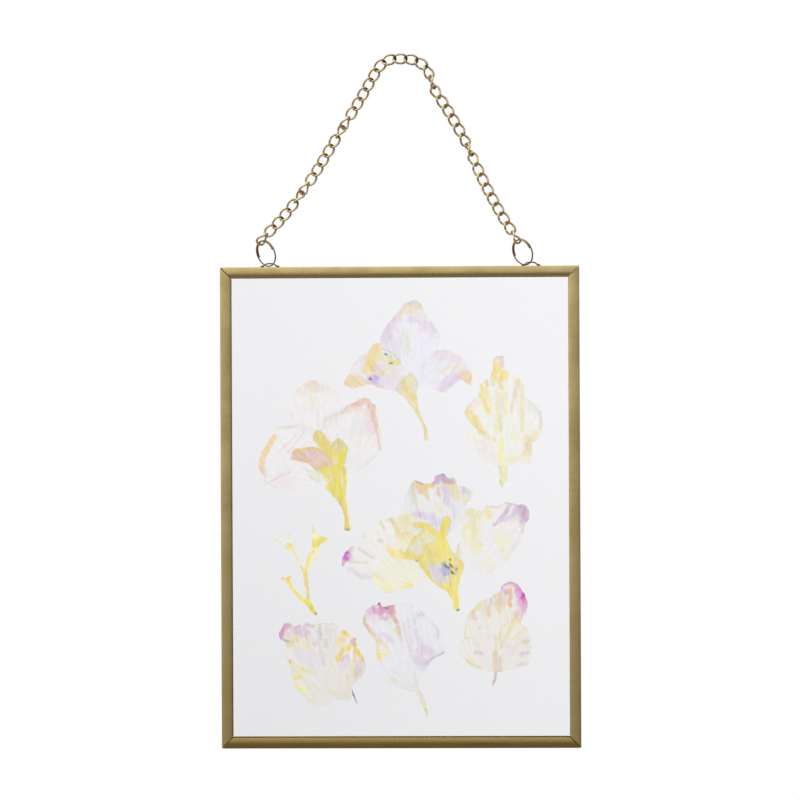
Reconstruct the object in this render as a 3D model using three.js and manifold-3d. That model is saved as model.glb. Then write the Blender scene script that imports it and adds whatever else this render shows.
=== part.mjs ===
// Hanging pressed flower frame: eight pressed petals and flowers between two sheets of glass,
// held by four mitred brass rails, and hung by a curb chain on two split rings.
// Millimetres. X is to the right, Y goes away from the viewer, Z is up.
// The origin is the underside of the chain's top, where it lies over the peg.

import * as THREE from 'three';
import { mergeVertices } from 'three/addons/utils/BufferGeometryUtils.js';
import Module from 'manifold-3d';

const wasm = await Module();
wasm.setup();

// Frame
const FRAME_WIDTH = 150;
const FRAME_HEIGHT = 201;
const FRAME_TOP = -84.3;
const FRAME_MIDDLE = FRAME_TOP - FRAME_HEIGHT / 2;
const RAIL_FACE = 4.5;
const RAIL_FRONT = -3.1;
const RAIL_DOME = 0.5;
const RAIL_BACK = 3.5;
const RAIL_BACK_EDGE = 0.5;
const OUTER_WALL = 0.8;
const CHANNEL_HALF = 2.75;
const MITRE_GAP = 0.3;
const DOME_STEPS = 12;

// Glass
const GLASS_THICKNESS = 2;
const PANE_SPACE = 0.9;
const GLASS_EDGE_CLEARANCE = 0.3;

// Eyes and rings
const EYE_WIRE = 0.6;
const EYE_HALF_WIDTH = 2.6;
const EYE_FOOT_REACH = 3.7;
const EYE_AXIS_HEIGHT = 1.65;
const EYE_SEAT_GAP = 0.12;
const EYE_BEND_RISE = 0.3;
const EYE_SHOULDER_RISE = 0.85;
const EYE_SHOULDER_REACH = 0.6;
const EYE_STEPS = 20;
const EYE_SIDES = 4;
const EYE_X = { left_eye: -54.2, right_eye: 55 };
const SOLDER_LENGTH = 1.9;
const SOLDER_WIDTH = 1.5;
const SOLDER_HEIGHT = 0.7;
const SOLDER_SIDES = 10;
const SOLDER_RINGS = 6;
const RING_WIRE = 0.6;
const RING_RADIUS = 5.5;
const RING_TURNS = 1.5;
const RING_COIL_PITCH = 0.7;
const RING_GAP = 0.2;
const RING_LEAN = THREE.MathUtils.degToRad(24);
const RING_STEPS = 48;
const RING_SIDES = 3;
const LEFT_RING = { footX: -53.6, turn: -48 };
const RIGHT_RING = { footX: 53.8, turn: -50 };

// Chain
const LINK_COUNT = 42;
const LINK_WIRE = 0.72;
const LINK_LENGTH = 6.5;
const LINK_WIDTH = 4.8;
const LINK_TWIST = 0.8;
const LINK_STEPS = 12;
const LINK_SIDES = 5;
const LEFT_END = { hold: 1.5, direction: 52, forward: -0.5 };
const RIGHT_END = { hold: 1.5, direction: 120, forward: 0 };
const CHAIN_ROUTE = [
  [-47.3, -61.6], [-36.5, -46.9], [-25.8, -29.6], [-16.8, -15.2], [-10.6, -4.6], [-7.8, -0.2],
  [-4, 2.3], [0.6, 2.75], [5.4, 2.4], [9.3, 0.8], [12, -2], [13.6, -6], [15.2, -10.4],
  [20.4, -18.6], [27.4, -31.1], [35.2, -48.3], [42.2, -61.7],
];
// The chain turns over by half a turn at these links, so that they show their edge.
const TURNED_LINKS = [0.5, 6.5, 13.5, 26, 33, 42.3];
const TURN_REACH = 2;

// Pressed flowers
const PETAL_THICKNESS = 0.26;
const LAYER_STEP = 0.14;
const OUTLINE_STEPS = 2;
const FLOWER_PLACES = {
  flower_top: [5, 50],
  flower_left: [-35, 20],
  petal_right: [45, 35],
  flower_centre: [15, -20],
  stamen_sprig: [-40, -25],
  petal_lower_left: [-30, -65],
  petal_lower_middle: [0, -60],
  petal_lower_right: [40, -50],
};

const MERGE_WITHIN = 1e-4;

const brass = new THREE.MeshStandardMaterial({ color: 0x9e8149, roughness: 0.4, metalness: 1 });
const redBrass = new THREE.MeshStandardMaterial({ color: 0xb08a5c, roughness: 0.3, metalness: 1 });
const clearGlass = new THREE.MeshStandardMaterial({
  color: 0xeef2f0, roughness: 0.02, metalness: 0, transparent: true, opacity: 0.25,
});
const petal = new THREE.MeshStandardMaterial({ color: 0xece9e4, roughness: 0.8, metalness: 0 });
const pollen = new THREE.MeshStandardMaterial({ color: 0xebdf70, roughness: 0.8, metalness: 0 });

const model = new THREE.Group();

function addMesh(parent, name, geometry, material) {
  const mesh = new THREE.Mesh(geometry, material);
  mesh.name = name;
  parent.add(mesh);
  return mesh;
}

// Only positions are left and shared corners are merged, so that a mesh is one closed skin.
function closedSkin(geometry) {
  const skin = geometry.clone();
  skin.deleteAttribute('normal');
  skin.deleteAttribute('uv');
  return mergeVertices(skin, MERGE_WITHIN);
}

function toSolid(geometry) {
  const skin = closedSkin(geometry);
  return new wasm.Manifold(new wasm.Mesh({
    numProp: 3,
    vertProperties: new Float32Array(skin.attributes.position.array),
    triVerts: new Uint32Array(skin.index.array),
  }));
}

function fuse(geometries) {
  const joined = geometries.map(toSolid).reduce((whole, piece) => whole.add(piece));
  const mesh = joined.getMesh();
  const geometry = new THREE.BufferGeometry();
  geometry.setAttribute('position', new THREE.BufferAttribute(mesh.vertProperties, 3));
  geometry.setIndex(new THREE.BufferAttribute(mesh.triVerts, 1));
  geometry.computeVertexNormals();
  return geometry;
}

function roundWire(path, diameter, steps, sides) {
  const section = new THREE.Shape();
  section.absarc(0, 0, diameter / 2, 0, Math.PI * 2);
  return new THREE.ExtrudeGeometry(section, {
    steps, curveSegments: sides, extrudePath: path, bevelEnabled: false,
  });
}

// Rails: a folded channel with a domed front, open towards the glass and mitred at both ends.
// In the section, x goes inwards from the frame's outer edge and y goes from front to back.
function railSection() {
  const section = new THREE.Shape();
  const half = RAIL_FACE / 2;
  section.moveTo(0, RAIL_FRONT);
  section.absellipse(half, RAIL_FRONT, half, RAIL_DOME, Math.PI, Math.PI * 2);
  section.lineTo(RAIL_FACE, -CHANNEL_HALF);
  section.lineTo(OUTER_WALL, -CHANNEL_HALF);
  section.lineTo(OUTER_WALL, CHANNEL_HALF);
  section.lineTo(RAIL_FACE, CHANNEL_HALF);
  section.lineTo(RAIL_FACE, RAIL_BACK - RAIL_BACK_EDGE);
  section.lineTo(RAIL_FACE - RAIL_BACK_EDGE, RAIL_BACK);
  section.lineTo(RAIL_BACK_EDGE, RAIL_BACK);
  section.lineTo(0, RAIL_BACK - RAIL_BACK_EDGE);
  return section;
}

function railGeometry(length) {
  const geometry = new THREE.ExtrudeGeometry(railSection(), {
    depth: length, curveSegments: DOME_STEPS, bevelEnabled: false,
  });
  const position = geometry.attributes.position;
  const setBack = MITRE_GAP / Math.SQRT2;
  for (let i = 0; i < position.count; i += 1) {
    const cut = position.getX(i) + setBack;
    const atStart = position.getZ(i) < length / 2;
    position.setZ(i, atStart ? cut : length - cut);
  }
  geometry.computeVertexNormals();
  return geometry;
}

// Each rail starts at a corner of the frame and runs clockwise, with its section facing inwards.
function addRail(name, length, startX, startZ, inwardX, inwardZ) {
  const inward = new THREE.Vector3(inwardX, 0, inwardZ);
  const depth = new THREE.Vector3(0, 1, 0);
  const along = new THREE.Vector3().crossVectors(inward, depth);
  const rail = addMesh(model, name, railGeometry(length), brass);
  rail.quaternion.setFromRotationMatrix(new THREE.Matrix4().makeBasis(inward, depth, along));
  rail.position.set(startX, 0, startZ);
}

const SIDE = FRAME_WIDTH / 2;
const FRAME_BOTTOM = FRAME_TOP - FRAME_HEIGHT;
addRail('top_rail', FRAME_WIDTH, -SIDE, FRAME_TOP, 0, -1);
addRail('right_rail', FRAME_HEIGHT, SIDE, FRAME_TOP, -1, 0);
addRail('bottom_rail', FRAME_WIDTH, SIDE, FRAME_BOTTOM, 0, 1);
addRail('left_rail', FRAME_HEIGHT, -SIDE, FRAME_BOTTOM, 1, 0);

// Glass: two equal sheets in the channel, with a narrow space for the flowers between them.
function addPane(name, side) {
  const inset = 2 * (OUTER_WALL + GLASS_EDGE_CLEARANCE);
  const sheet = new THREE.BoxGeometry(FRAME_WIDTH - inset, GLASS_THICKNESS, FRAME_HEIGHT - inset);
  const pane = addMesh(model, name, sheet, clearGlass);
  pane.position.set(0, side * (PANE_SPACE + GLASS_THICKNESS) / 2, FRAME_MIDDLE);
}

addPane('front_glass', -1);
addPane('back_glass', 1);

// Eyes: a wire bent into an arch, with its feet spread out and soldered to the top rail.
const EYE_AXIS_Z = FRAME_TOP + EYE_AXIS_HEIGHT;
const EYE_FOOT_Z = FRAME_TOP + EYE_WIRE / 2 + EYE_SEAT_GAP;

function addEye(name, x) {
  const rise = EYE_AXIS_Z - EYE_FOOT_Z;
  const arch = new THREE.CatmullRomCurve3([
    new THREE.Vector3(-EYE_FOOT_REACH, 0, 0),
    new THREE.Vector3(-EYE_HALF_WIDTH, 0, rise * EYE_BEND_RISE),
    new THREE.Vector3(-EYE_HALF_WIDTH * EYE_SHOULDER_REACH, 0, rise * EYE_SHOULDER_RISE),
    new THREE.Vector3(0, 0, rise),
    new THREE.Vector3(EYE_HALF_WIDTH * EYE_SHOULDER_REACH, 0, rise * EYE_SHOULDER_RISE),
    new THREE.Vector3(EYE_HALF_WIDTH, 0, rise * EYE_BEND_RISE),
    new THREE.Vector3(EYE_FOOT_REACH, 0, 0),
  ]);
  const beads = [-1, 1].map((side) => {
    const bead = new THREE.SphereGeometry(1, SOLDER_SIDES, SOLDER_RINGS);
    bead.scale(SOLDER_LENGTH / 2, SOLDER_WIDTH / 2, SOLDER_HEIGHT / 2);
    const reach = EYE_FOOT_REACH - SOLDER_LENGTH / 4;
    bead.translate(side * reach, 0, (SOLDER_HEIGHT - EYE_WIRE) / 2);
    return bead;
  });
  const wire = roundWire(arch, EYE_WIRE, EYE_STEPS, EYE_SIDES);
  const eye = addMesh(model, name, fuse([wire, ...beads]), brass);
  eye.position.set(x, 0, EYE_FOOT_Z);
}

Object.entries(EYE_X).forEach(([name, x]) => addEye(name, x));

// Split rings: one and a half turns of wire side by side, single where the ring passes under
// its eye at footX and double where it holds the chain. Both lean to the left by the same angle,
// and each is turned out of the picture plane by its own, in degrees.
const RING_FOOT_Z = EYE_AXIS_Z - EYE_WIRE / 2 - RING_WIRE / 2 - RING_GAP;

class Coil extends THREE.Curve {
  getPoint(t, target = new THREE.Vector3()) {
    const turn = (t - 0.5) * RING_TURNS;
    const angle = turn * Math.PI * 2;
    return target.set(
      RING_RADIUS * Math.sin(angle),
      turn * RING_COIL_PITCH,
      -RING_RADIUS * Math.cos(angle),
    );
  }
}

function addRing(name, { footX, turn }) {
  const foot = new THREE.Vector3(footX, 0, RING_FOOT_Z);
  const up = new THREE.Vector3(-Math.sin(RING_LEAN), 0, Math.cos(RING_LEAN));
  up.multiplyScalar(RING_RADIUS);
  const wire = roundWire(new Coil(), RING_WIRE, RING_STEPS, RING_SIDES);
  const ring = addMesh(model, name, wire, redBrass);
  const turned = new THREE.Euler(0, -RING_LEAN, THREE.MathUtils.degToRad(turn), 'YZX');
  ring.quaternion.setFromEuler(turned);
  ring.position.addVectors(foot, up);
  return ring.position.clone().add(up);
}

const leftRingTop = addRing('left_ring', LEFT_RING);
const rightRingTop = addRing('right_ring', RIGHT_RING);

// Chain: twisted oval links, evenly spaced along one route from ring to ring over the peg.
// Each end link takes both wires of its ring's top, so its centre is a little way up the chain.
function endLinkCentre(ringTop, { hold, direction, forward }) {
  const angle = THREE.MathUtils.degToRad(direction);
  const shift = new THREE.Vector3(hold * Math.cos(angle), forward, hold * Math.sin(angle));
  return shift.add(ringTop);
}

const route = new THREE.CatmullRomCurve3([
  endLinkCentre(leftRingTop, LEFT_END),
  ...CHAIN_ROUTE.map(([x, z]) => new THREE.Vector3(x, 0, z)),
  endLinkCentre(rightRingTop, RIGHT_END),
]);

class LinkLoop extends THREE.Curve {
  getPoint(t, target = new THREE.Vector3()) {
    const angle = t * Math.PI * 2;
    const halfLength = (LINK_LENGTH - LINK_WIRE) / 2;
    const halfWidth = (LINK_WIDTH - LINK_WIRE) / 2;
    return target.set(
      halfLength * Math.cos(angle),
      halfWidth * Math.sin(angle),
      LINK_TWIST * Math.sin(2 * angle),
    );
  }
}

const linkGeometry = closedSkin(
  new THREE.TubeGeometry(new LinkLoop(), LINK_STEPS, LINK_WIRE / 2, LINK_SIDES, true),
);

function chainTurn(number) {
  return TURNED_LINKS.reduce((sum, middle) => (
    sum - Math.PI * THREE.MathUtils.smoothstep(number, middle - TURN_REACH, middle + TURN_REACH)
  ), 0);
}

for (let number = 1; number <= LINK_COUNT; number += 1) {
  const place = (number - 1) / (LINK_COUNT - 1);
  const along = route.getTangentAt(place);
  const flat = new THREE.Vector3(0, -1, 0);
  const across = new THREE.Vector3().crossVectors(flat, along);
  const name = `chain_link_${String(number).padStart(2, '0')}`;
  const link = addMesh(model, name, linkGeometry, redBrass);
  link.quaternion.setFromRotationMatrix(new THREE.Matrix4().makeBasis(along, across, flat));
  link.rotateX(chainTurn(number));
  link.position.copy(route.getPointAt(place));
}

// Pressed flowers: flat outlines, in x to the right and z up from the flower's own place, fused
// where they lie on each other. Layer 0 is the middle, and a lower layer is nearer the viewer.
function pressedSheet(points, layer) {
  const outline = new THREE.Shape();
  const corners = points.map(([x, z]) => new THREE.Vector2(x, z));
  outline.moveTo(corners[0].x, corners[0].y);
  outline.splineThru([...corners.slice(1), corners[0]]);
  const sheet = new THREE.ExtrudeGeometry(outline, {
    depth: PETAL_THICKNESS, curveSegments: OUTLINE_STEPS, bevelEnabled: false,
  });
  sheet.rotateX(Math.PI / 2);
  sheet.translate(0, PETAL_THICKNESS / 2 + layer * LAYER_STEP, 0);
  return sheet;
}

// A strand is a flat stalk of one width at its start and another at its end.
function strand(points, startWidth, endWidth, layer) {
  const curve = new THREE.SplineCurve(points.map(([x, z]) => new THREE.Vector2(x, z)));
  const steps = points.length * OUTLINE_STEPS;
  const leftSide = [];
  const rightSide = [];
  for (let i = 0; i <= steps; i += 1) {
    const half = THREE.MathUtils.lerp(startWidth, endWidth, i / steps) / 2;
    const at = curve.getPoint(i / steps);
    const ahead = curve.getTangent(i / steps);
    leftSide.push(new THREE.Vector2(at.x - ahead.y * half, at.y + ahead.x * half));
    rightSide.unshift(new THREE.Vector2(at.x + ahead.y * half, at.y - ahead.x * half));
  }
  const sheet = new THREE.ExtrudeGeometry(new THREE.Shape([...leftSide, ...rightSide]), {
    depth: PETAL_THICKNESS, bevelEnabled: false,
  });
  sheet.rotateX(Math.PI / 2);
  sheet.translate(0, PETAL_THICKNESS / 2 + layer * LAYER_STEP, 0);
  return sheet;
}

function addFlower(name, sheets, material) {
  const [x, z] = FLOWER_PLACES[name];
  const flower = addMesh(model, name, fuse(sheets), material);
  flower.position.set(x, 0, FRAME_MIDDLE + z);
}

addFlower('flower_top', [
  pressedSheet([
    [1.7, 1.5], [-2.1, 6.6], [-5, 11.5], [-12.7, 18.6], [-11.8, 23.7], [-8.8, 28], [-4.5, 32.7],
    [-2.4, 35.6], [1, 36.5], [4.4, 34.3], [6.8, 29.4], [11.7, 21.5], [9.1, 14.2], [5, 6],
  ], 1),
  pressedSheet([
    [-3, 7], [-5, 13], [-11.8, 17], [-14.4, 18.8], [-17.6, 15.6], [-24.2, 11], [-28.1, 2],
    [-24.5, -0.2], [-18.3, 1.3], [-11.5, -0.5], [-4.5, -2],
  ], 0),
  pressedSheet([
    [1, 1], [3.5, 7], [8.6, 13.8], [12.2, 15.9], [17.6, 14.4], [23.4, 9.4], [25.2, 5.2],
    [24.2, 0.9], [20.5, 2.6], [13.3, -2], [6, 0.4],
  ], 0),
  pressedSheet([
    [-6.6, 1], [-5.2, -2.1], [-2, -5.4], [1, -9.8], [3.6, -14.6], [4.8, -21.8], [6.8, -21.8],
    [6.2, -16.8], [3, -9.6], [2.1, -4.1], [2.6, 3], [-2, 6],
  ], -1),
], petal);

addFlower('flower_left', [
  pressedSheet([
    [-12.5, 13], [-12, 23.5], [-8.1, 29.4], [-1.6, 33.5], [5.1, 30.7], [11.9, 26.2], [14.4, 23.4],
    [8, 15], [1.2, 9],
  ], 1),
  pressedSheet([
    [2, 13], [4.2, 18], [11, 20.6], [15.5, 23.7], [21.6, 25.9], [25.2, 21.6], [26.3, 13.8],
    [27.7, 7.4], [26.3, 2.8], [19.6, -4], [12, -6.2], [7, -3],
  ], 0),
  pressedSheet([
    [1, 10], [-4.6, 14.6], [-12.2, 14.3], [-17.2, 12.6], [-22.7, 4], [-24.5, -1.6], [-21.9, -11.8],
    [-15, -13.7], [-2.4, -12.4], [3, -6],
  ], 0),
  pressedSheet([
    [-1.3, 9.6], [0.6, 12.1], [4.2, 9.6], [9.4, 8.5], [12.8, 5.4], [12, -0.5], [12.4, -8],
    [12.3, -17], [13.9, -29.5], [11.4, -29.5], [10.6, -20.4], [3.1, -10.6], [-1, -5.8], [-4, -1.4],
    [-10.9, 0.3], [-8, 4.6], [-1, 5.4],
  ], -1),
], petal);

addFlower('petal_right', [
  pressedSheet([
    [-4.8, 27.6], [-2.9, 28.3], [-1.3, 27], [-0.6, 22.9], [4.4, 19.4], [6.8, 15], [7.8, 10.8],
    [14, 4], [14.3, -2.3], [10.3, -8.6], [9.4, -15.6], [7, -17.1], [1.3, -17.3], [-0.3, -19],
    [-0.3, -24.2], [-2.3, -27], [-3.7, -24.4], [-4, -18.6], [-11.9, -14.6], [-16.6, -8.6],
    [-17.3, 0], [-18, 4.4], [-12.1, 11.7], [-11.1, 16.2], [-6.6, 21.6],
  ], 0),
], petal);

addFlower('flower_centre', [
  pressedSheet([
    [-15.2, 14], [-14.4, 20.6], [-9.4, 31.2], [-3.8, 29.9], [-0.6, 32.6], [3, 34], [8, 31.8],
    [14.6, 27.2], [13.6, 22], [11, 14], [0, 8],
  ], 1),
  pressedSheet([
    [8, 0], [9.8, 9], [12, 18], [19, 19], [25.2, 20.4], [29.8, 22], [37.4, 20.8], [38.9, 15.4],
    [36.4, 9], [30.7, -1.5], [22, -8.1], [11, -5.5],
  ], 0),
  pressedSheet([
    [-39.6, -4.6], [-38, 1.6], [-33, 4.7], [-28.4, 12.4], [-19.6, 15.7], [-8, 16.8], [0, 9],
    [-1, -5], [-6.4, -11.6], [-14, -14.3], [-20.6, -16], [-28.4, -10.2], [-34.9, -8],
  ], 0),
  pressedSheet([
    [-9.6, 4], [-10, 13], [-3.6, 12.4], [0.9, 8.6], [5.6, 15.4], [8.6, 8], [10.6, 1], [11, -6.4],
    [8.6, -13], [9.3, -23], [7.5, -23], [4.4, -15.6], [-3, -10.6], [-6.6, -5],
  ], -1),
], petal);

addFlower('stamen_sprig', [
  strand([[3.6, -19.6], [1.1, -15.2], [0.3, -9.4], [-0.4, -3.4], [-0.2, -0.4]], 1.2, 2.2, 0),
  strand([[-0.2, -2.4], [0.8, 2.8], [2.4, 7], [5, 10.4], [3.3, 17.3]], 1.8, 0.7, 1),
  strand([[3.6, 8.8], [6, 11.4], [9.2, 12.7]], 1.6, 0.7, 0),
  strand([[0.6, -1.8], [3.2, 1.6], [5.6, 7.8]], 1.8, 1.2, 0),
  strand([[0.2, -3.6], [-2.2, 0.4], [-4.6, 5.6], [-7.4, 9.4], [-7.4, 15.4]], 1.8, 0.8, 0),
  strand([[-6.2, 8.2], [-9, 9.4], [-12.3, 11.5]], 1.6, 0.7, 1),
  strand([[1.6, -16], [-1.5, -12.9], [-4.2, -9.6], [-7.5, -4.9]], 1.2, 2.2, 1),
], pollen);

addFlower('petal_lower_left', [
  pressedSheet([
    [-21, 11.6], [-19.8, 15.2], [-17, 16.8], [-14.6, 15.3], [-9.6, 17.1], [-7.3, 16], [-1, 16.7],
    [2.8, 16.1], [5, 13.5], [9, 11], [11.2, 9.8], [13.8, 3.7], [15.2, -0.9], [14.3, -5.6],
    [9.9, -9], [9.3, -12], [11.4, -17], [8.6, -15.7], [2, -15.8], [-5.2, -18.8], [-10.2, -15.7],
    [-14, -10.4], [-16.4, -3.1], [-18.5, 4], [-18.6, 8.8],
  ], 0),
], petal);

addFlower('petal_lower_middle', [
  pressedSheet([
    [-16.1, 13], [-14.6, 17], [-10.6, 19.3], [-8.9, 20.2], [-7.6, 18.6], [-0.2, 19.9], [4, 19.8],
    [9.5, 15.9], [15, 10.6], [17.3, 3.6], [18.3, -1.2], [12.3, -5], [8.7, -10.8], [7.1, -15],
    [8.6, -18], [10.5, -24], [10.4, -27.7], [9.2, -24.4], [6.6, -18.4], [4.6, -16.7], [-5, -14.2],
    [-11.2, -10], [-11.5, -6], [-10.5, 3], [-14, 8.4],
  ], 0),
], petal);

addFlower('petal_lower_right', [
  pressedSheet([
    [1.4, 15.2], [3.4, 18], [6.4, 18.9], [9.6, 16.6], [12.8, 11], [12.3, 6], [10, 1.8],
    [12.4, -0.6], [14.2, -6.2], [14.7, -10.6], [13.1, -16.2], [1.6, -19.3], [-0.3, -21.4],
    [-2.1, -25.4], [-1.9, -19.8], [-8.4, -17.5], [-13.4, -13.6], [-15.8, -9.6], [-14.2, -5.2],
    [-13.3, 2.6], [-9.3, 8.2], [-2.6, 12.4],
  ], 0),
], petal);

export default model;
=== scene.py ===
# Hanging pressed flower frame: eight pressed petals and flowers between two sheets of glass, in
# four mitred brass rails, hung by a curb chain on two split rings. Blender metres, +Z up, and the
# viewer stands on the -Y side. Sizes are in millimetres and are turned to metres as they are used.

import math

import bpy
import numpy as np
from mathutils import Matrix, Vector
from mathutils.geometry import delaunay_2d_cdt


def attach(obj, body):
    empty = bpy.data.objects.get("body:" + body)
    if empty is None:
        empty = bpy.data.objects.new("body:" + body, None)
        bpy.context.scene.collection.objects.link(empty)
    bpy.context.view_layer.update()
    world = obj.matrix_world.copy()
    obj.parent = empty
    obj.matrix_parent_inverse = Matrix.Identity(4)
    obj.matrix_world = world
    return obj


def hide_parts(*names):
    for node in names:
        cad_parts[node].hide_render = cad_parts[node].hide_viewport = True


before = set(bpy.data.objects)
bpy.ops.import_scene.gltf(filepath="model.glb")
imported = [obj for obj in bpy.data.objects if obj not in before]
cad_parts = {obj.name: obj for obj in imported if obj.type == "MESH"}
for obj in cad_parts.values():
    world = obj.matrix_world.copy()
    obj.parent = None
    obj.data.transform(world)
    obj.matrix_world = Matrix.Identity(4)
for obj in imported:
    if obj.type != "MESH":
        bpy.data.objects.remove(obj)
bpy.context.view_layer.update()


# Glass: two equal sheets of 2 mm float glass, cut square and laid together with the flowers
# between them. Their edges stand in the rails' channels.

MM = 0.001
FILM_SIZE = 26
DUST_SPACING = 14.4


def linear(hex_colour):
    """An sRGB hex colour as the linear colour that a shader takes."""
    parts = [int(hex_colour[i:i + 2], 16) / 255 for i in (0, 2, 4)]
    return tuple(((c + 0.055) / 1.055) ** 2.4 if c > 0.04045 else c / 12.92 for c in parts) + (1.0,)


def per_metre(size):
    """The scale that gives a pattern of about this size in millimetres."""
    return 1 / (size * MM)


def add_node(material, kind, inputs=None, **settings):
    """Adds a shader node. An input is a plain value, or the output that is linked to it."""
    node = material.node_tree.nodes.new("ShaderNode" + kind)
    for setting, value in settings.items():
        setattr(node, setting, value)
    for socket, value in (inputs or {}).items():
        if isinstance(value, bpy.types.NodeSocket):
            material.node_tree.links.new(value, node.inputs[socket])
        else:
            node.inputs[socket].default_value = value
    return node


def new_material(name):
    material = bpy.data.materials.new(name)
    material.use_nodes = True
    material.node_tree.nodes.clear()
    return material


# Float glass cools on molten tin, so it is flat and clear and shows only by what it mirrors and
# dims. A thin film left from wiping and a few dust specks show where the light catches them.
float_glass = new_material("float glass, wiped by hand")
place = add_node(float_glass, "TexCoord").outputs["Object"]
film = add_node(float_glass, "TexNoise", {
    "Vector": place, "Scale": per_metre(FILM_SIZE), "Detail": 3, "Distortion": 1.5})
film_share = add_node(float_glass, "MapRange", {
    "Value": film.outputs[0], "From Min": 0.5, "From Max": 0.8, "To Max": 0.01})
dust = add_node(float_glass, "TexVoronoi", {"Vector": place, "Scale": per_metre(DUST_SPACING)})
dust_share = add_node(float_glass, "MapRange", {
    "Value": dust.outputs["Distance"], "From Min": 0.02, "From Max": 0.012, "To Max": 0.2})
veil_share = add_node(float_glass, "Math", {0: film_share.outputs[0], 1: dust_share.outputs[0]})
clear = add_node(float_glass, "BsdfPrincipled", {
    "Base Color": linear("FBFBFC"), "Roughness": 0.0, "IOR": 1.52, "Transmission Weight": 1.0})
veil = add_node(float_glass, "BsdfDiffuse", {"Color": linear("E4E4E2")})
soiled = add_node(float_glass, "MixShader", {
    0: veil_share.outputs[0], 1: clear.outputs[0], 2: veil.outputs[0]})
ray = add_node(float_glass, "LightPath")
lamp_ray = add_node(float_glass, "Math", {
    0: ray.outputs["Is Shadow Ray"], 1: ray.outputs["Is Diffuse Ray"]}, operation="MAXIMUM")
passing = add_node(float_glass, "BsdfTransparent", {"Color": linear("F8F8F9")})
pane = add_node(float_glass, "MixShader", {
    0: lamp_ray.outputs[0], 1: soiled.outputs[0], 2: passing.outputs[0]})
add_node(float_glass, "OutputMaterial", {"Surface": pane.outputs[0]})

for name in ("back_glass", "front_glass"):
    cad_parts[name].material_slots[0].material = float_glass


# Flower at the top: a whole flower pressed flat, with its back petal up, one petal out to each
# side and the throat and stalk in front. Pressing dries the tissue until it is thin as paper.

FRAME_MIDDLE = -184.8
SHEET_THICKNESS = 0.08
LAYER_STEP = 0.14
MESH_SPACING = 0.45
ROW_SHARE = 0.866
CRINKLE_SIZE = 4.5
CRINKLE_HEIGHT = 0.16
CLOUD_CELLS = 64
FRINGE = 0.7
FRINGE_SIZES = (2.4, 0.9)
WANDER = 0.6
FAN_ROOT = 6
FAN_GROWTH = 0.45
STREAK_WIDTH = 0.8
STREAK_LENGTH = 9
BLOT_SIZE = 1.7
WARP_SIZE = 1.3
WARP_LIMIT = 1.6
# A stain is full out to its core and fades over a width that the ragged edge varies.
STAIN_CORE, STAIN_FADE, STAIN_RAGGED = 1.42, 0.46, 0.9
# The dye's strength between the streaks, and what a broad and a fine streak add.
DYE_BETWEEN, DYE_IN_STREAK, DYE_IN_FINE = 0.78, 0.18, 0.26
VEIN_WIDTH = 0.9
VEIN_LENGTH = 11
MOTTLE_SIZE = 1.8
DYE_GAMMA = 0.87


def cloud(across, along, size, seed):
    """Smooth noise from 0 to 1 over a plane, with spots of about that size."""
    cells = CLOUD_CELLS
    dots = np.random.default_rng(seed).random((cells, cells))
    u, v = np.asarray(across) / size, np.asarray(along) / size
    i, j = np.floor(u).astype(int), np.floor(v).astype(int)
    fu, fv = u - i, v - j
    fu, fv = fu * fu * (3 - 2 * fu), fv * fv * (3 - 2 * fv)
    i, j, right, above = i % cells, j % cells, (i + 1) % cells, (j + 1) % cells
    low = dots[i, j] * (1 - fu) + dots[right, j] * fu
    high = dots[i, above] * (1 - fu) + dots[right, above] * fu
    return low * (1 - fv) + high * fv


def closed_curve(corners, spacing):
    """A smooth closed line through the corners, with a point about every spacing."""
    line = []
    for a, b, c, d in zip(*(np.roll(corners, shift, axis=0) for shift in (1, 0, -1, -2))):
        steps = max(1, round(np.linalg.norm(c - b) / spacing))
        for t in np.arange(steps) / steps:
            line.append((2 * b + (c - a) * t + (2 * a - 5 * b + 4 * c - d) * t ** 2
                         + (3 * b - a - 3 * c + d) * t ** 3) / 2)
    return np.array(line)


def distance_to_line(points, line):
    """How far each point is from a bent line."""
    line = np.array(line, float)
    nearest = np.full(len(points), np.inf)
    for start, end in zip(line[:-1], line[1:]):
        run = end - start
        share = np.clip((points - start) @ run / max(run @ run, 1e-9), 0, 1)
        foot = start + share[:, None] * run
        nearest = np.minimum(nearest, np.linalg.norm(points - foot, axis=1))
    return nearest


def is_inside(points, outline):
    """Whether each point is inside a closed line."""
    inside = np.zeros(len(points), bool)
    for (x0, z0), (x1, z1) in zip(outline, np.roll(outline, -1, axis=0)):
        crosses = (z0 > points[:, 1]) != (z1 > points[:, 1])
        rise = z1 - z0 if z1 != z0 else 1e-9
        inside ^= crosses & (points[:, 0] < x0 + (points[:, 1] - z0) * (x1 - x0) / rise)
    return inside


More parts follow.
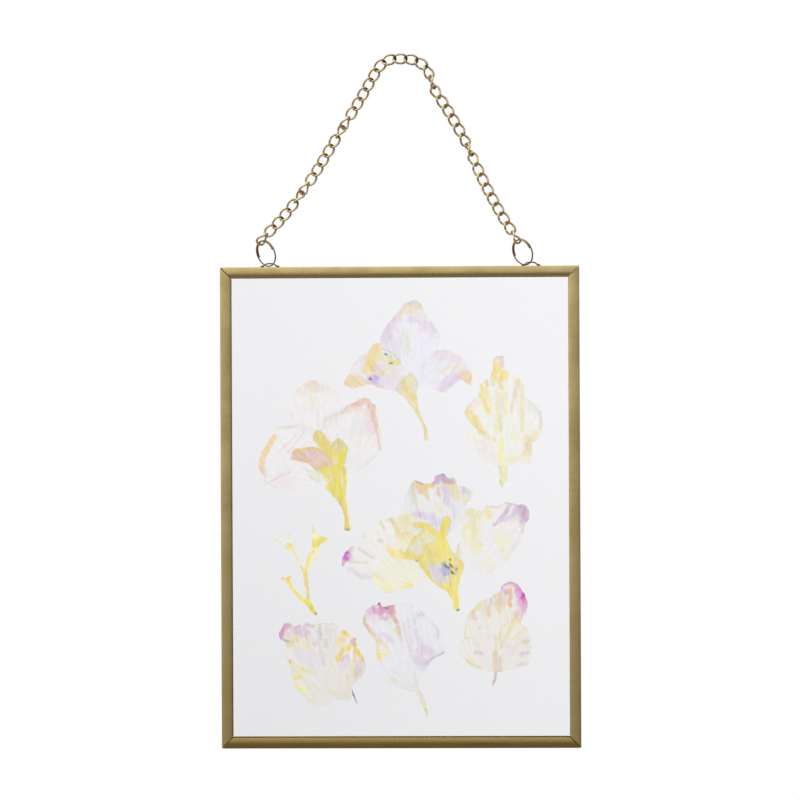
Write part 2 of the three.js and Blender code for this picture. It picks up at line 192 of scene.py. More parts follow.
def pressed_sheet(corners, root, layer, ground, stains, seed):
    """One petal: the x and z of its outline's corners, the root that its veins run from, its place
    in the stack, and the ground colour with stains over it. Each stain is a colour, a half width, a
    strength, and the x and z of the points of its line."""
    outline = closed_curve(np.reshape(corners, (-1, 2)), MESH_SPACING)
    ahead = np.roll(outline, -1, axis=0) - np.roll(outline, 1, axis=0)
    ahead /= np.linalg.norm(ahead, axis=1)[:, None] + 1e-9
    broad, narrow = (cloud(*outline.T, size, seed + i) for i, size in enumerate(FRINGE_SIZES))
    wander = WANDER * broad + WANDER * narrow - WANDER
    outline = outline + np.stack([ahead[:, 1], -ahead[:, 0]], axis=1) * wander[:, None] * FRINGE
    (x0, z0), (x1, z1) = outline.min(axis=0), outline.max(axis=0)
    rows = np.arange(z0, z1, MESH_SPACING * ROW_SHARE)
    lattice = np.array([(x + MESH_SPACING / 2 * (row % 2), z) for row, z in enumerate(rows)
                        for x in np.arange(x0, x1, MESH_SPACING)])
    ring = np.vstack([outline, outline[:1]])
    inner = lattice[is_inside(lattice, outline)]
    inner = inner[distance_to_line(inner, ring) > MESH_SPACING * 0.5]
    count = len(outline)
    found = delaunay_2d_cdt([Vector(p) for p in np.vstack([outline, inner])], [],
                            [list(range(count))], 1, 1e-5)
    points = np.array([tuple(p) for p in found[0]])
    faces = [list(face) for face in found[2]]
    away = points - np.array(root, float)
    length = np.linalg.norm(away, axis=1)
    angle = np.arctan2(away[:, 0], away[:, 1])
    around = angle * (FAN_ROOT + FAN_GROWTH * length)
    rim = distance_to_line(points, ring)
    u, v = around / STREAK_WIDTH, length / STREAK_LENGTH
    streak = cloud(u, v, 1, seed + 2)
    blot = cloud(*points.T, BLOT_SIZE, seed + 3)
    fine = cloud(u * 2.3, v * 2, 1, seed + 4)
    edge = 0.55 * cloud(u, v * 3, 1, seed + 5) + 0.45 * blot
    warp = np.stack([cloud(*points.T, WARP_SIZE, seed + i) for i in (6, 7)], axis=1) - 0.5
    dye = np.tile(linear(ground)[:3], (len(points), 1))
    for colour, half_width, strength, *line in stains:
        line = np.reshape(line if len(line) > 2 else line * 2, (-1, 2))
        reach = distance_to_line(points + warp * min(WARP_LIMIT, half_width), line) / half_width
        share = np.clip(STAIN_CORE - reach * (STAIN_FADE + STAIN_RAGGED * edge), 0, 1)
        share = strength * share * share * (3 - 2 * share) * (
            DYE_BETWEEN + DYE_IN_STREAK * streak + DYE_IN_FINE * fine)
        dye += np.clip(share, 0, 1)[:, None] * (np.array(linear(colour)[:3]) - dye)
    veins = np.stack([around, length, rim], axis=1)
    return {"points": points, "faces": faces, "dye": dye, "veins": veins, "layer": layer}


def join_sheets(name, place, sheets, material, seed):
    """One pressed specimen from its sheets, crinkled alike so that they lie on each other."""
    points = np.vstack([sheet["points"] for sheet in sheets])
    heights = np.concatenate([np.full(len(s["points"]), s["layer"] * LAYER_STEP) for s in sheets])
    heights += (cloud(*points.T, CRINKLE_SIZE, seed) - 0.5) * CRINKLE_HEIGHT
    faces, first = [], 0
    for sheet in sheets:
        faces += [[corner + first for corner in face] for face in sheet["faces"]]
        first += len(sheet["points"])
    sides = [(a, b) for face in faces for a, b in zip(face, face[1:] + face[:1])]
    inner = set(sides)
    rim = [side for side in sides if side[::-1] not in inner]
    count = len(points)
    edge = sorted({corner for side in rim for corner in side})
    rank = {corner: i for i, corner in enumerate(edge)}
    source = list(range(count)) * 2 + edge * 2
    half = SHEET_THICKNESS / 2
    offset = [-half] * count + [half] * count + [-half] * len(edge) + [half] * len(edge)
    first_front, first_back = 2 * count, 2 * count + len(edge)
    skin = faces + [[corner + count for corner in face[::-1]] for face in faces]
    skin += [[first_front + rank[b], first_front + rank[a], first_back + rank[a],
              first_back + rank[b]] for a, b in rim]
    x, z = place
    mesh = bpy.data.meshes.new(name)
    mesh.from_pydata([((x + points[i][0]) * MM, (heights[i] + shift) * MM,
                       (FRAME_MIDDLE + z + points[i][1]) * MM)
                      for i, shift in zip(source, offset)], [], skin)
    dye = mesh.attributes.new("dye", "FLOAT_COLOR", "POINT")
    colours = np.hstack([np.vstack([s["dye"] for s in sheets]), np.ones((count, 1))])
    dye.data.foreach_set("color", colours[source].ravel())
    veins = mesh.attributes.new("veins", "FLOAT_VECTOR", "POINT")
    veins.data.foreach_set("vector", np.vstack([s["veins"] for s in sheets])[source].ravel())
    mesh.shade_smooth()
    mesh.materials.append(material)
    specimen = bpy.data.objects.new(name, mesh)
    bpy.context.scene.collection.objects.link(specimen)
    return specimen


def tissue(name, vein_depth, through):
    """Dried plant tissue. The dye attribute is its colour and the veins attribute runs round the
    root, away from the root and in from the rim, in millimetres."""
    material = new_material(name)
    dye = add_node(material, "Attribute", attribute_name="dye").outputs["Color"]
    veins = add_node(material, "Attribute", attribute_name="veins").outputs["Vector"]
    parts = add_node(material, "SeparateXYZ", {0: veins})
    lie = add_node(material, "Mapping", {
        "Vector": veins, "Scale": (1 / VEIN_WIDTH, 1 / VEIN_LENGTH, 0)})
    fibre = add_node(material, "TexNoise", {
        "Vector": lie.outputs[0], "Scale": 1, "Detail": 4, "Roughness": 0.6})
    place = add_node(material, "TexCoord").outputs["Object"]
    mottle = add_node(material, "TexNoise", {
        "Vector": place, "Scale": per_metre(MOTTLE_SIZE), "Detail": 3})
    gather = add_node(material, "MapRange", {
        "Value": fibre.outputs[0], "From Min": 0.3, "From Max": 0.7,
        "To Min": DYE_GAMMA - vein_depth, "To Max": DYE_GAMMA + vein_depth})
    streaked = add_node(material, "Gamma", {"Color": dye, "Gamma": gather.outputs[0]})
    mottle_tone = add_node(material, "MapRange", {
        "Value": mottle.outputs[0], "From Min": 0.3, "From Max": 0.7,
        "To Min": 0.965, "To Max": 1.015})
    rim_tone = add_node(material, "MapRange", {
        "Value": parts.outputs[2], "From Min": 0.0, "From Max": 0.7,
        "To Min": 0.99, "To Max": 1.0})
    tone = add_node(material, "Math", {
        0: mottle_tone.outputs[0], 1: rim_tone.outputs[0]}, operation="MULTIPLY")
    colour = add_node(material, "VectorMath", {
        0: streaked.outputs[0], 1: tone.outputs[0]}, operation="MULTIPLY")
    relief = add_node(material, "Bump", {
        "Height": fibre.outputs[0], "Strength": 0.35, "Distance": 0.06 * MM})
    skin = add_node(material, "BsdfPrincipled", {
        "Base Color": colour.outputs[0], "Roughness": 0.78, "Specular IOR Level": 0.25,
        "Normal": relief.outputs[0]})
    shine_through = add_node(material, "BsdfTranslucent", {
        "Color": colour.outputs[0], "Normal": relief.outputs[0]})
    both = add_node(material, "MixShader", {
        0: through, 1: skin.outputs[0], 2: shine_through.outputs[0]})
    add_node(material, "OutputMaterial", {"Surface": both.outputs[0]})
    return material


# Pressed petal tissue is matt and thin enough to let light through. Its veins fan out from the
# root as fine streaks, and the dye has sunk into patches as it dried.
petal_tissue = tissue("pressed petal tissue", 0.26, 0.25)
flower_top = join_sheets("pressed_flower_top", (5, 50), [
    pressed_sheet([
        1.7, 2.3, -2.1, 6.6, -4.6, 11.3, -8.5, 14.8, -12.7, 18.6, -11.8, 23.7, -8.8, 28, -4.5, 32.7,
        -2.8, 35.2, 0.6, 36.5, 2.3, 36.1, 4.4, 34.3, 6.6, 29.6, 9.1, 26.6, 11.7, 21.5, 10.8, 16.8,
        9.1, 14.2, 4.3, 6.6,
    ], (1.5, 0), 1, "ECEAEE", [
        ("DBC8DB", 3, 0.75, -12.5, 20.8, -11, 25.8, -8.5, 29.3, -5, 32.8, -2.5, 34.8),
        ("DACCDC", 1.6, 0.6, -3, 35.4, 1.5, 36), ("E8D9AE", 1.9, 0.8, -1.5, 32.3, 1, 34, 3.5, 34.8),
        ("ECE4C4", 2.2, 0.55, -4, 30.8, -2.5, 32.8),
        ("E0D3DD", 1.1, 0.7, -1, 28.8, 4, 27, 7, 26.3, 9.5, 26.3),
        ("E3D6E3", 2.6, 0.7, 6.5, 24.8, 9, 24.3), ("E9DCDC", 2.2, 0.4, 2, 30.8, 5, 30.3),
        ("E1E5D6", 1.8, 0.6, -3.5, 22.8, -2.5, 18.8, -2.2, 14.8),
        ("E1D6E3", 3.4, 0.5, -9, 22.8, -8, 17.8),
    ], 11),
    pressed_sheet([
        -3, 7, -4.6, 10.9, -5.4, 13.5, -8.9, 15.6, -12.3, 16.9, -13.1, 18.4, -15.7, 18.4, -17.4, 15.7,
        -20, 14.4, -24.2, 11, -26, 7.2, -28.1, 2, -26.9, 0.6, -24.3, -0.3, -18.3, 1.4, -14.9, 0.5,
        -11.5, -0.4, -5.5, -1.5, -2, 1,
    ], (1, 4), 0, "E8E5E6", [
        ("ECD2A2", 3, 0.9, -27, 3.3, -24, 2.8, -22, 1.8), ("DDBEA8", 0.6, 0.6, -28, 2.3, -26, 0.3),
        ("ECD68D", 2.4, 0.95, -14.5, 16.8, -16.5, 13.3, -17, 10.3, -17.5, 7.8),
        ("EAD7AC", 1.5, 0.85, -15.5, 17.8, -14, 17.8), ("E9E2B8", 2.2, 0.7, -14, 13.8, -11, 12.3),
        ("E8DD8D", 1, 0.9, -8.5, 11.3, -5.5, 10.3), ("DEC8DC", 1.8, 0.7, -14, 8.3, -13, 6.8),
        ("CCA9DE", 1.6, 0.9, -16.5, 3.3, -15, 3.8), ("D9C2D2", 1.6, 0.6, -18, 2.8, -16, 1.3),
        ("EAD3A2", 0.9, 0.8, -13.5, 6.8, -12, 6.3), ("E6DDC0", 2.4, 0.6, -11, 7.8, -8, 6.8),
        ("DED6E4", 2, 0.6, -12, 3.8, -9, 2.8), ("E3CDCB", 0.8, 0.6, -17, 1.5, -12, 0),
        ("CFCBCF", 0.5, 0.7, -12, 16.6, -9.5, 15.3, -7, 13.3, -5, 11.3),
        ("4A3038", 0.5, 1, -17.3, 3.6), ("77705A", 0.4, 0.9, -11.2, 14, -10.6, 14),
        ("7C7448", 0.35, 0.9, -8.8, 13), ("8A8040", 0.3, 0.9, -9.2, 10.2, -8.2, 10.2),
        ("8A8262", 0.25, 0.9, -12, 5.3),
    ], 12),
    pressed_sheet([
        1, 1, 2.2, 2.3, 3.5, 6.6, 5.6, 10, 9.1, 14.2, 10.8, 15.5, 14.2, 15.5, 17.6, 14.4, 21, 12.5,
        23.6, 9.1, 25.2, 5.6, 24.8, 0.9, 23.1, 1.4, 20.5, 2.7, 17.1, 0.6, 13.3, -2, 9.8, -1.1,
        6.4, 0.6, 3.5, 0.5,
    ], (0, 2), 0, "EAE9EE", [
        ("EADBDD", 2.6, 0.7, 9.5, 14.8, 14, 14.3, 19, 12.8),
        ("EAD5AC", 2.3, 0.9, 21, 5.3, 23.5, 4.3, 23.8, 1.8),
        ("E1CFE0", 2.2, 0.85, 18.5, 4.3, 15.5, 2.3, 13.5, 0.8),
        ("E8E1C0", 0.9, 0.7, 11.5, 6.3, 15, 8.3, 20, 8.3),
    ], 13),
    pressed_sheet([
        -6.4, -0.2, -5.5, -1.9, -2.1, -5.3, 0.9, -9.6, 3.4, -14.3, 4.7, -18.2, 4.9, -21.8, 6.8, -21.8,
        6.3, -17.3, 4.7, -13.5, 3, -9.6, 2.1, -4.1, 2.2, 2.3, -1, 6, -3.5, 4,
    ], (5.5, -26), -1, "EAE1B4", [
        ("E7D78E", 1.6, 0.9, -4, 1.8, -1.5, -2.2, 1, -4.7),
        ("E6DDA7", 1, 0.7, 1.5, -6.7, 4, -12.2, 5.5, -18.2), ("E2D6DC", 1.3, 0.6, -6.5, 1.8, -5, -0.2),
        ("E6DCE1", 1, 0.6, 0.6, 0.8, 1.3, -1.2),
        ("D8CD9D", 0.4, 0.6, -7, -1, -3.5, -4.2, 0, -8.7, 3, -14.2),
        ("D3C39A", 0.35, 0.5, 5.4, -15.2, 5.6, -21.2),
    ], 14),
], petal_tissue, 3)
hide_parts("flower_top")
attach(flower_top, "frame")


# Flower on the left: the largest one, opened flat from the front. Two broad petals and the back
# petal lie behind, and the three small lobes of the lip lie over the throat.

flower_left = join_sheets("pressed_flower_left", (-35, 20), [
    pressed_sheet([
        -12.3, 14.9, -11.7, 23.9, -10.8, 26.6, -8.1, 29.4, -4.9, 32.1, -1.7, 33.4, 1.5, 32.5,
        5.1, 30.6, 8.7, 28.8, 11.9, 26.1, 14.2, 23.8, 8, 16, 1.2, 11, -5, 11,
    ], (1, 4), 1, "EDEBE9", [
        ("E8D3BA", 2.2, 0.85, -2, 31.8, -0.5, 30.3), ("EADCCC", 1.6, 0.6, -7, 28.3, -4, 30.8),
        ("E8DFD4", 1.6, 0.6, 1, 30.8, 6, 29.3), ("ECE6D2", 2, 0.6, -1.5, 27.8, -1, 23.8),
        ("E4DDD2", 0.5, 0.6, 0.4, 20.8, 0.8, 13.8),
    ], 21),
    pressed_sheet([
        2.3, 15.7, 4.2, 18, 11, 20.6, 12.3, 22.4, 15.5, 23.6, 18.7, 25.4, 21.4, 25.8, 22.8, 24.2,
        25, 22.4, 25, 19.2, 26.3, 13.8, 27.7, 7.4, 26.3, 2.9, 22.2, -2.1, 17.6, -4.8, 12.7, -6.1,
        8, -3, 3, 4, 1.5, 12,
    ], (6, 0), 0, "ECEAE7", [
        ("E8D5C0", 2, 0.7, 12, 21.3, 15, 21.8, 18, 21.3),
        ("E4D8C8", 0.8, 0.6, 3, 16.8, 9, 19.3, 12, 20.8),
        ("EAD6DB", 2.2, 0.7, 21.5, 19.8, 22, 15.8, 23, 11.8),
        ("E4BDAE", 1.5, 0.95, 16.5, 23.5, 19.5, 24.8, 21.2, 25),
        ("E6C3B2", 1.7, 0.85, 22, 22.8, 24, 21.8, 24.2, 18.8),
        ("EAD0B0", 0.8, 0.8, 24.5, 21.3, 25.5, 17.8, 26.2, 13.8),
        ("E3BBB4", 0.6, 0.7, 24.2, 16.8, 25.2, 11.8, 26.2, 6.8, 26.8, 3.8),
        ("ECE3B0", 0.4, 0.6, 26, 14.8, 27, 9.8), ("ECE6C4", 1.2, 0.6, 3.5, 16.3),
        ("CC7B81", 0.25, 0.8, 21.7, 22.4), ("D38F90", 0.2, 0.7, 17.8, 22.8),
    ], 22),
    pressed_sheet([
        -1.3, 12.1, -4, 14.4, -7.7, 14.8, -12.2, 14.2, -16.3, 13.5, -17.9, 11.2, -19.9, 8.1, -22.7, 4,
        -24.3, 0.4, -24.1, -3.7, -22.7, -7.8, -22, -11.4, -18.2, -11.9, -16.4, -13.2, -12.8, -13.7,
        -7.3, -12.8, -2.3, -12.4, 0.4, -9.3, 3, -4, 2, 6,
    ], (4, 2), 0, "EDEBE9", [
        ("F0D5A4", 1.3, 0.95, -18.5, 9.8, -20.5, 5.3, -22, 2.8),
        ("EFD4B4", 1.3, 0.95, -22.5, 1.3, -23.4, -3.2, -22.8, -5.2),
        ("EECE9D", 0.8, 0.8, -20.2, 4.8, -21, 2.8), ("E6DCC6", 0.7, 0.7, -17, 13, -13, 13.8, -9, 14.2),
        ("E5D8D6", 0.5, 0.6, -15, 3.8, -11, 7.8, -8, 11.3),
        ("E5D8D6", 0.5, 0.6, -12, 2.8, -8, 7.8, -5, 11.8), ("EADFE4", 3, 0.6, -15, -8.2, -12, -10.2),
        ("DDCCD1", 0.4, 0.7, -20.5, -9.7, -15, -6.7, -11, -5),
        ("DDCCD1", 0.4, 0.6, -20, -10.2, -17, -12), ("E2D4CC", 0.6, 0.7, -22, -6.2, -21.5, -10.7),
        ("DFDFD8", 0.7, 0.6, -5, -3.8, -1, -5.2, 4, -11.2),
    ], 23),
    pressed_sheet([
        -1, -4, -3, -7, -0.5, -8.6, 3.1, -11.6, 6.7, -15.1, 9.4, -18.3, 11, -21.9, 11.6, -26.1,
        11.4, -29.5, 13.9, -29.5, 13.2, -24.7, 12.6, -19.3, 12.2, -14.8, 12.4, -7.9, 12.2, -3.4, 8, -1,
        4, -1,
    ], (13, -33), -0.5, "E8DC64", [
        ("ECECE4", 1.7, 1, -1.5, -5.2, 1.5, -8.7, 3.2, -10.2),
        ("EAD16B", 1.3, 0.7, 6, -11.2, 9, -16.2, 11, -21.2, 12.5, -27.2),
        ("E6CBB8", 0.7, 0.8, 5.5, -6.7, 6.4, -8.7), ("E6E0A8", 0.7, 0.6, 10.6, -5.2, 10.8, -11.2),
        ("CDB289", 0.35, 0.7, 8, -16.7, 10.2, -20.2, 11.3, -24.2),
        ("D4B496", 0.3, 0.6, 9, -16.7, 10.8, -20.2), ("A89848", 0.4, 0.8, 11.6, -29.4, 13.7, -29.2),
    ], 24),
    pressed_sheet([
        -1.3, 10.3, 0.4, 12.1, 3.2, 10.7, 5, 8, 6.6, 5, 6, 1, 4.1, 2, 1.4, 5.4, -1.3, 8.4,
    ], (7, -3), -1, "E8D97B", [
        ("E0C99C", 1.2, 0.6, 0, 9.8), ("EED76A", 1.2, 0.9, 2.5, 5.8, 4.5, 4.8, 6, 1.8),
    ], 25),
    pressed_sheet([
        6, 5, 8.2, 8.6, 9.6, 8.6, 12.7, 5.7, 12.4, 1.1, 10.9, -2.5, 8.6, -4.6, 6, -3, 4.5, 0,
    ], (7, -8), -1, "ECDF6B", [
        ("DCCCA5", 1.4, 0.8, 6.5, 6.8, 9, 8.3, 10.5, 6.8), ("E6CCBC", 1.1, 0.9, 8.5, 3.8, 9.3, 4.8),
        ("EEDC52", 1.1, 0.8, 10, 1.8, 9.2, -2.2), ("ECE4B1", 0.9, 0.7, 7.5, 0.8, 8, -1.2),
    ], 26),
    pressed_sheet([
        -10.9, 0.3, -9.5, 4, -6.8, 4.9, -2.3, 5.3, 1.4, 4.4, 4.1, 2.5, 6.5, -0.5, 5.4, -3, 3.6, -2.5,
        -0.1, -4.5, -2.3, -2.4, -5.9, -0.6, -9.5, -0.1,
    ], (8, -1), -1.3, "E4CAC8", [
        ("E6C2B4", 1, 0.7, -7.5, 2.1, -5, 1.8), ("E8D6B0", 1.6, 0.6, 1, -0.7),
        ("ECCC88", 0.9, 0.95, -9, 3.5, -6, 4.2, -2, 4.8, 2, 3.3),
        ("EDC193", 0.7, 0.95, -11, 0.8, -7, 0.1, -4, -0.7),
        ("EACA92", 1, 0.9, -3, -1.7, -0.5, -3.7, 2.5, -2.7, 3.5, -1.7),
        ("E4CC95", 1, 0.7, 4, 1.8, 5.5, -0.2), ("B9B178", 0.3, 0.6, 3.8, 1.9),
    ], 27),
], petal_tissue, 4)
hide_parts("flower_left")
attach(flower_left, "frame")


# Petal on the right: a single broad petal with a drawn-out tip and root, streaked with yellow
# where it was folded in the bud.

petal_right = join_sheets("pressed_petal_right", (45, 35), [
    pressed_sheet([
        -4.7, 27.6, -3, 28.1, -1.4, 27.6, -0.9, 22.9, 1.5, 20.8, 4.5, 19.4, 6.8, 15.1, 7.6, 10.9,
        11.1, 7.8, 14.1, 3.9, 14.3, -2.3, 12.2, -7.3, 10.2, -8.5, 9.8, -13.9, 8.7, -17, 4.4, -17,
        1.3, -17.3, -0.3, -18.5, -0.1, -24.3, -1.5, -24.7, -2.2, -27, -3.8, -24.7, -3.4, -21.6,
        -4.2, -18.5, -7.2, -17.3, -11.9, -14.6, -15.7, -11.1, -17.2, -6.1, -17.2, -0.2, -18, 3.6,
        -17.6, 6, -14.9, 9.4, -12.1, 11.7, -11.3, 16, -8.6, 18.3, -6.3, 21.8, -6.3, 25.7,
    ], (-2.5, -22), 0, "F0EEE6", [
        ("EAE6E6", 2.6, 0.6, -10, -10.2, -7, -13.2), ("EFE3D8", 1.2, 0.7, -15, 6.8, -12, 8.8),
        ("E0DDD0", 0.6, 0.6, -16.5, 6.8, -13.5, 10.3), ("E9D9B4", 0.8, 0.7, -6.6, 20.3, -6, 16.3),
        ("E8D1A4", 0.7, 0.8, -5.8, 25.8, -5, 27.3, -3, 27.8),
        ("E3D0C8", 1, 0.9, -2.5, 27.3, -2.2, 24.3),
        ("F1DD8A", 1.2, 0.95, -4.8, 24.3, -5, 21.8, -5.2, 19.3),
        ("F2DE82", 1.4, 0.95, -2, 21.3, -1.8, 18.8), ("EDDA98", 1.2, 0.85, -3, 18.8, -3, 14.8),
        ("F2DF8C", 1.1, 0.95, -10.8, 15.8, -10.4, 11.8, -9.5, 8.3, -8, 4.8),
        ("ECD5AC", 0.8, 0.8, -9.2, 18.3, -8.5, 15.8), ("F1E8B7", 1, 0.7, -8.5, 12.8, -7.5, 6.8),
        ("D8D0A6", 0.5, 0.5, -11.5, 13.8, -11.4, 10.8),
        ("EFDD93", 1.4, 0.95, -16.4, 4.8, -14.5, 1.8, -12.5, -0.7, -11, -3.2),
        ("E9E4AC", 1, 0.7, -10.5, -3.7, -8.5, -6.2, -6, -6.7),
        ("DCD09C", 0.4, 0.7, -17.7, 4.8, -16.2, 1.8, -14, -1.4, -10, -4.2),
        ("E9DDE0", 1.1, 0.8, -3, 10.8, -2.7, 5.8), ("EDE8B4", 1, 0.7, -4, 12.8, -4.2, 3.8, -4, -3.2),
        ("DCDAAE", 0.6, 0.7, -3, 2.8, -2.8, -3.2), ("F0ECB0", 0.8, 0.6, -1.2, 11.8, -0.7, 3.8),
        ("F0D8AA", 0.9, 0.9, 4.6, 18.3, 4.2, 15.3), ("EBDEB8", 1, 0.85, 5.5, 15.8, 6, 10.3),
        ("E6D4C0", 0.8, 0.7, 3.5, 13.8, 2.3, 8.8, 1.3, 4.8),
        ("EDE8B8", 0.7, 0.9, 5.8, 9.8, 5.9, 3.8, 5.9, -3.2), ("E5E4DC", 2.1, 0.6, 9, 8.8, 12, 4.8),
        ("DAD8CB", 0.5, 0.7, 13.3, 4.8, 14, 0.8, 13.8, -2.7),
        ("F4E8B3", 1.3, 0.9, 11.5, -4.2, 10.5, -6.2),
        ("EADBB6", 1.3, 0.9, 9.2, -6.7, 8.5, -9.2, 8, -12.2), ("EFECC0", 1.1, 0.6, 3, -5.7, 7.5, -6),
        ("EFEBC8", 1.1, 0.7, 0, -15.2, 5, -15.2, 8, -14.7),
        ("F4EEB6", 1.3, 0.9, -3, -7.7, -3.2, -11.7, -2.5, -16.2),
        ("EFEBB4", 1.4, 0.9, -2, -18.2, -1.5, -23.2), ("E3DA98", 0.9, 0.9, -3.2, -24.2, -2.5, -26.2),
        ("D3CDCF", 0.4, 0.6, -4, -17.7, -2.7, -21.7), ("D9D7AE", 0.4, 0.6, -0.4, -18.2, -0.2, -23.7),
    ], 31),
], petal_tissue, 5)
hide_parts("petal_right")
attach(petal_right, "frame")


# Flower in the middle: the widest one, seen from above, with the lip's yellow star over the
# throat and the cut end of its stalk below.

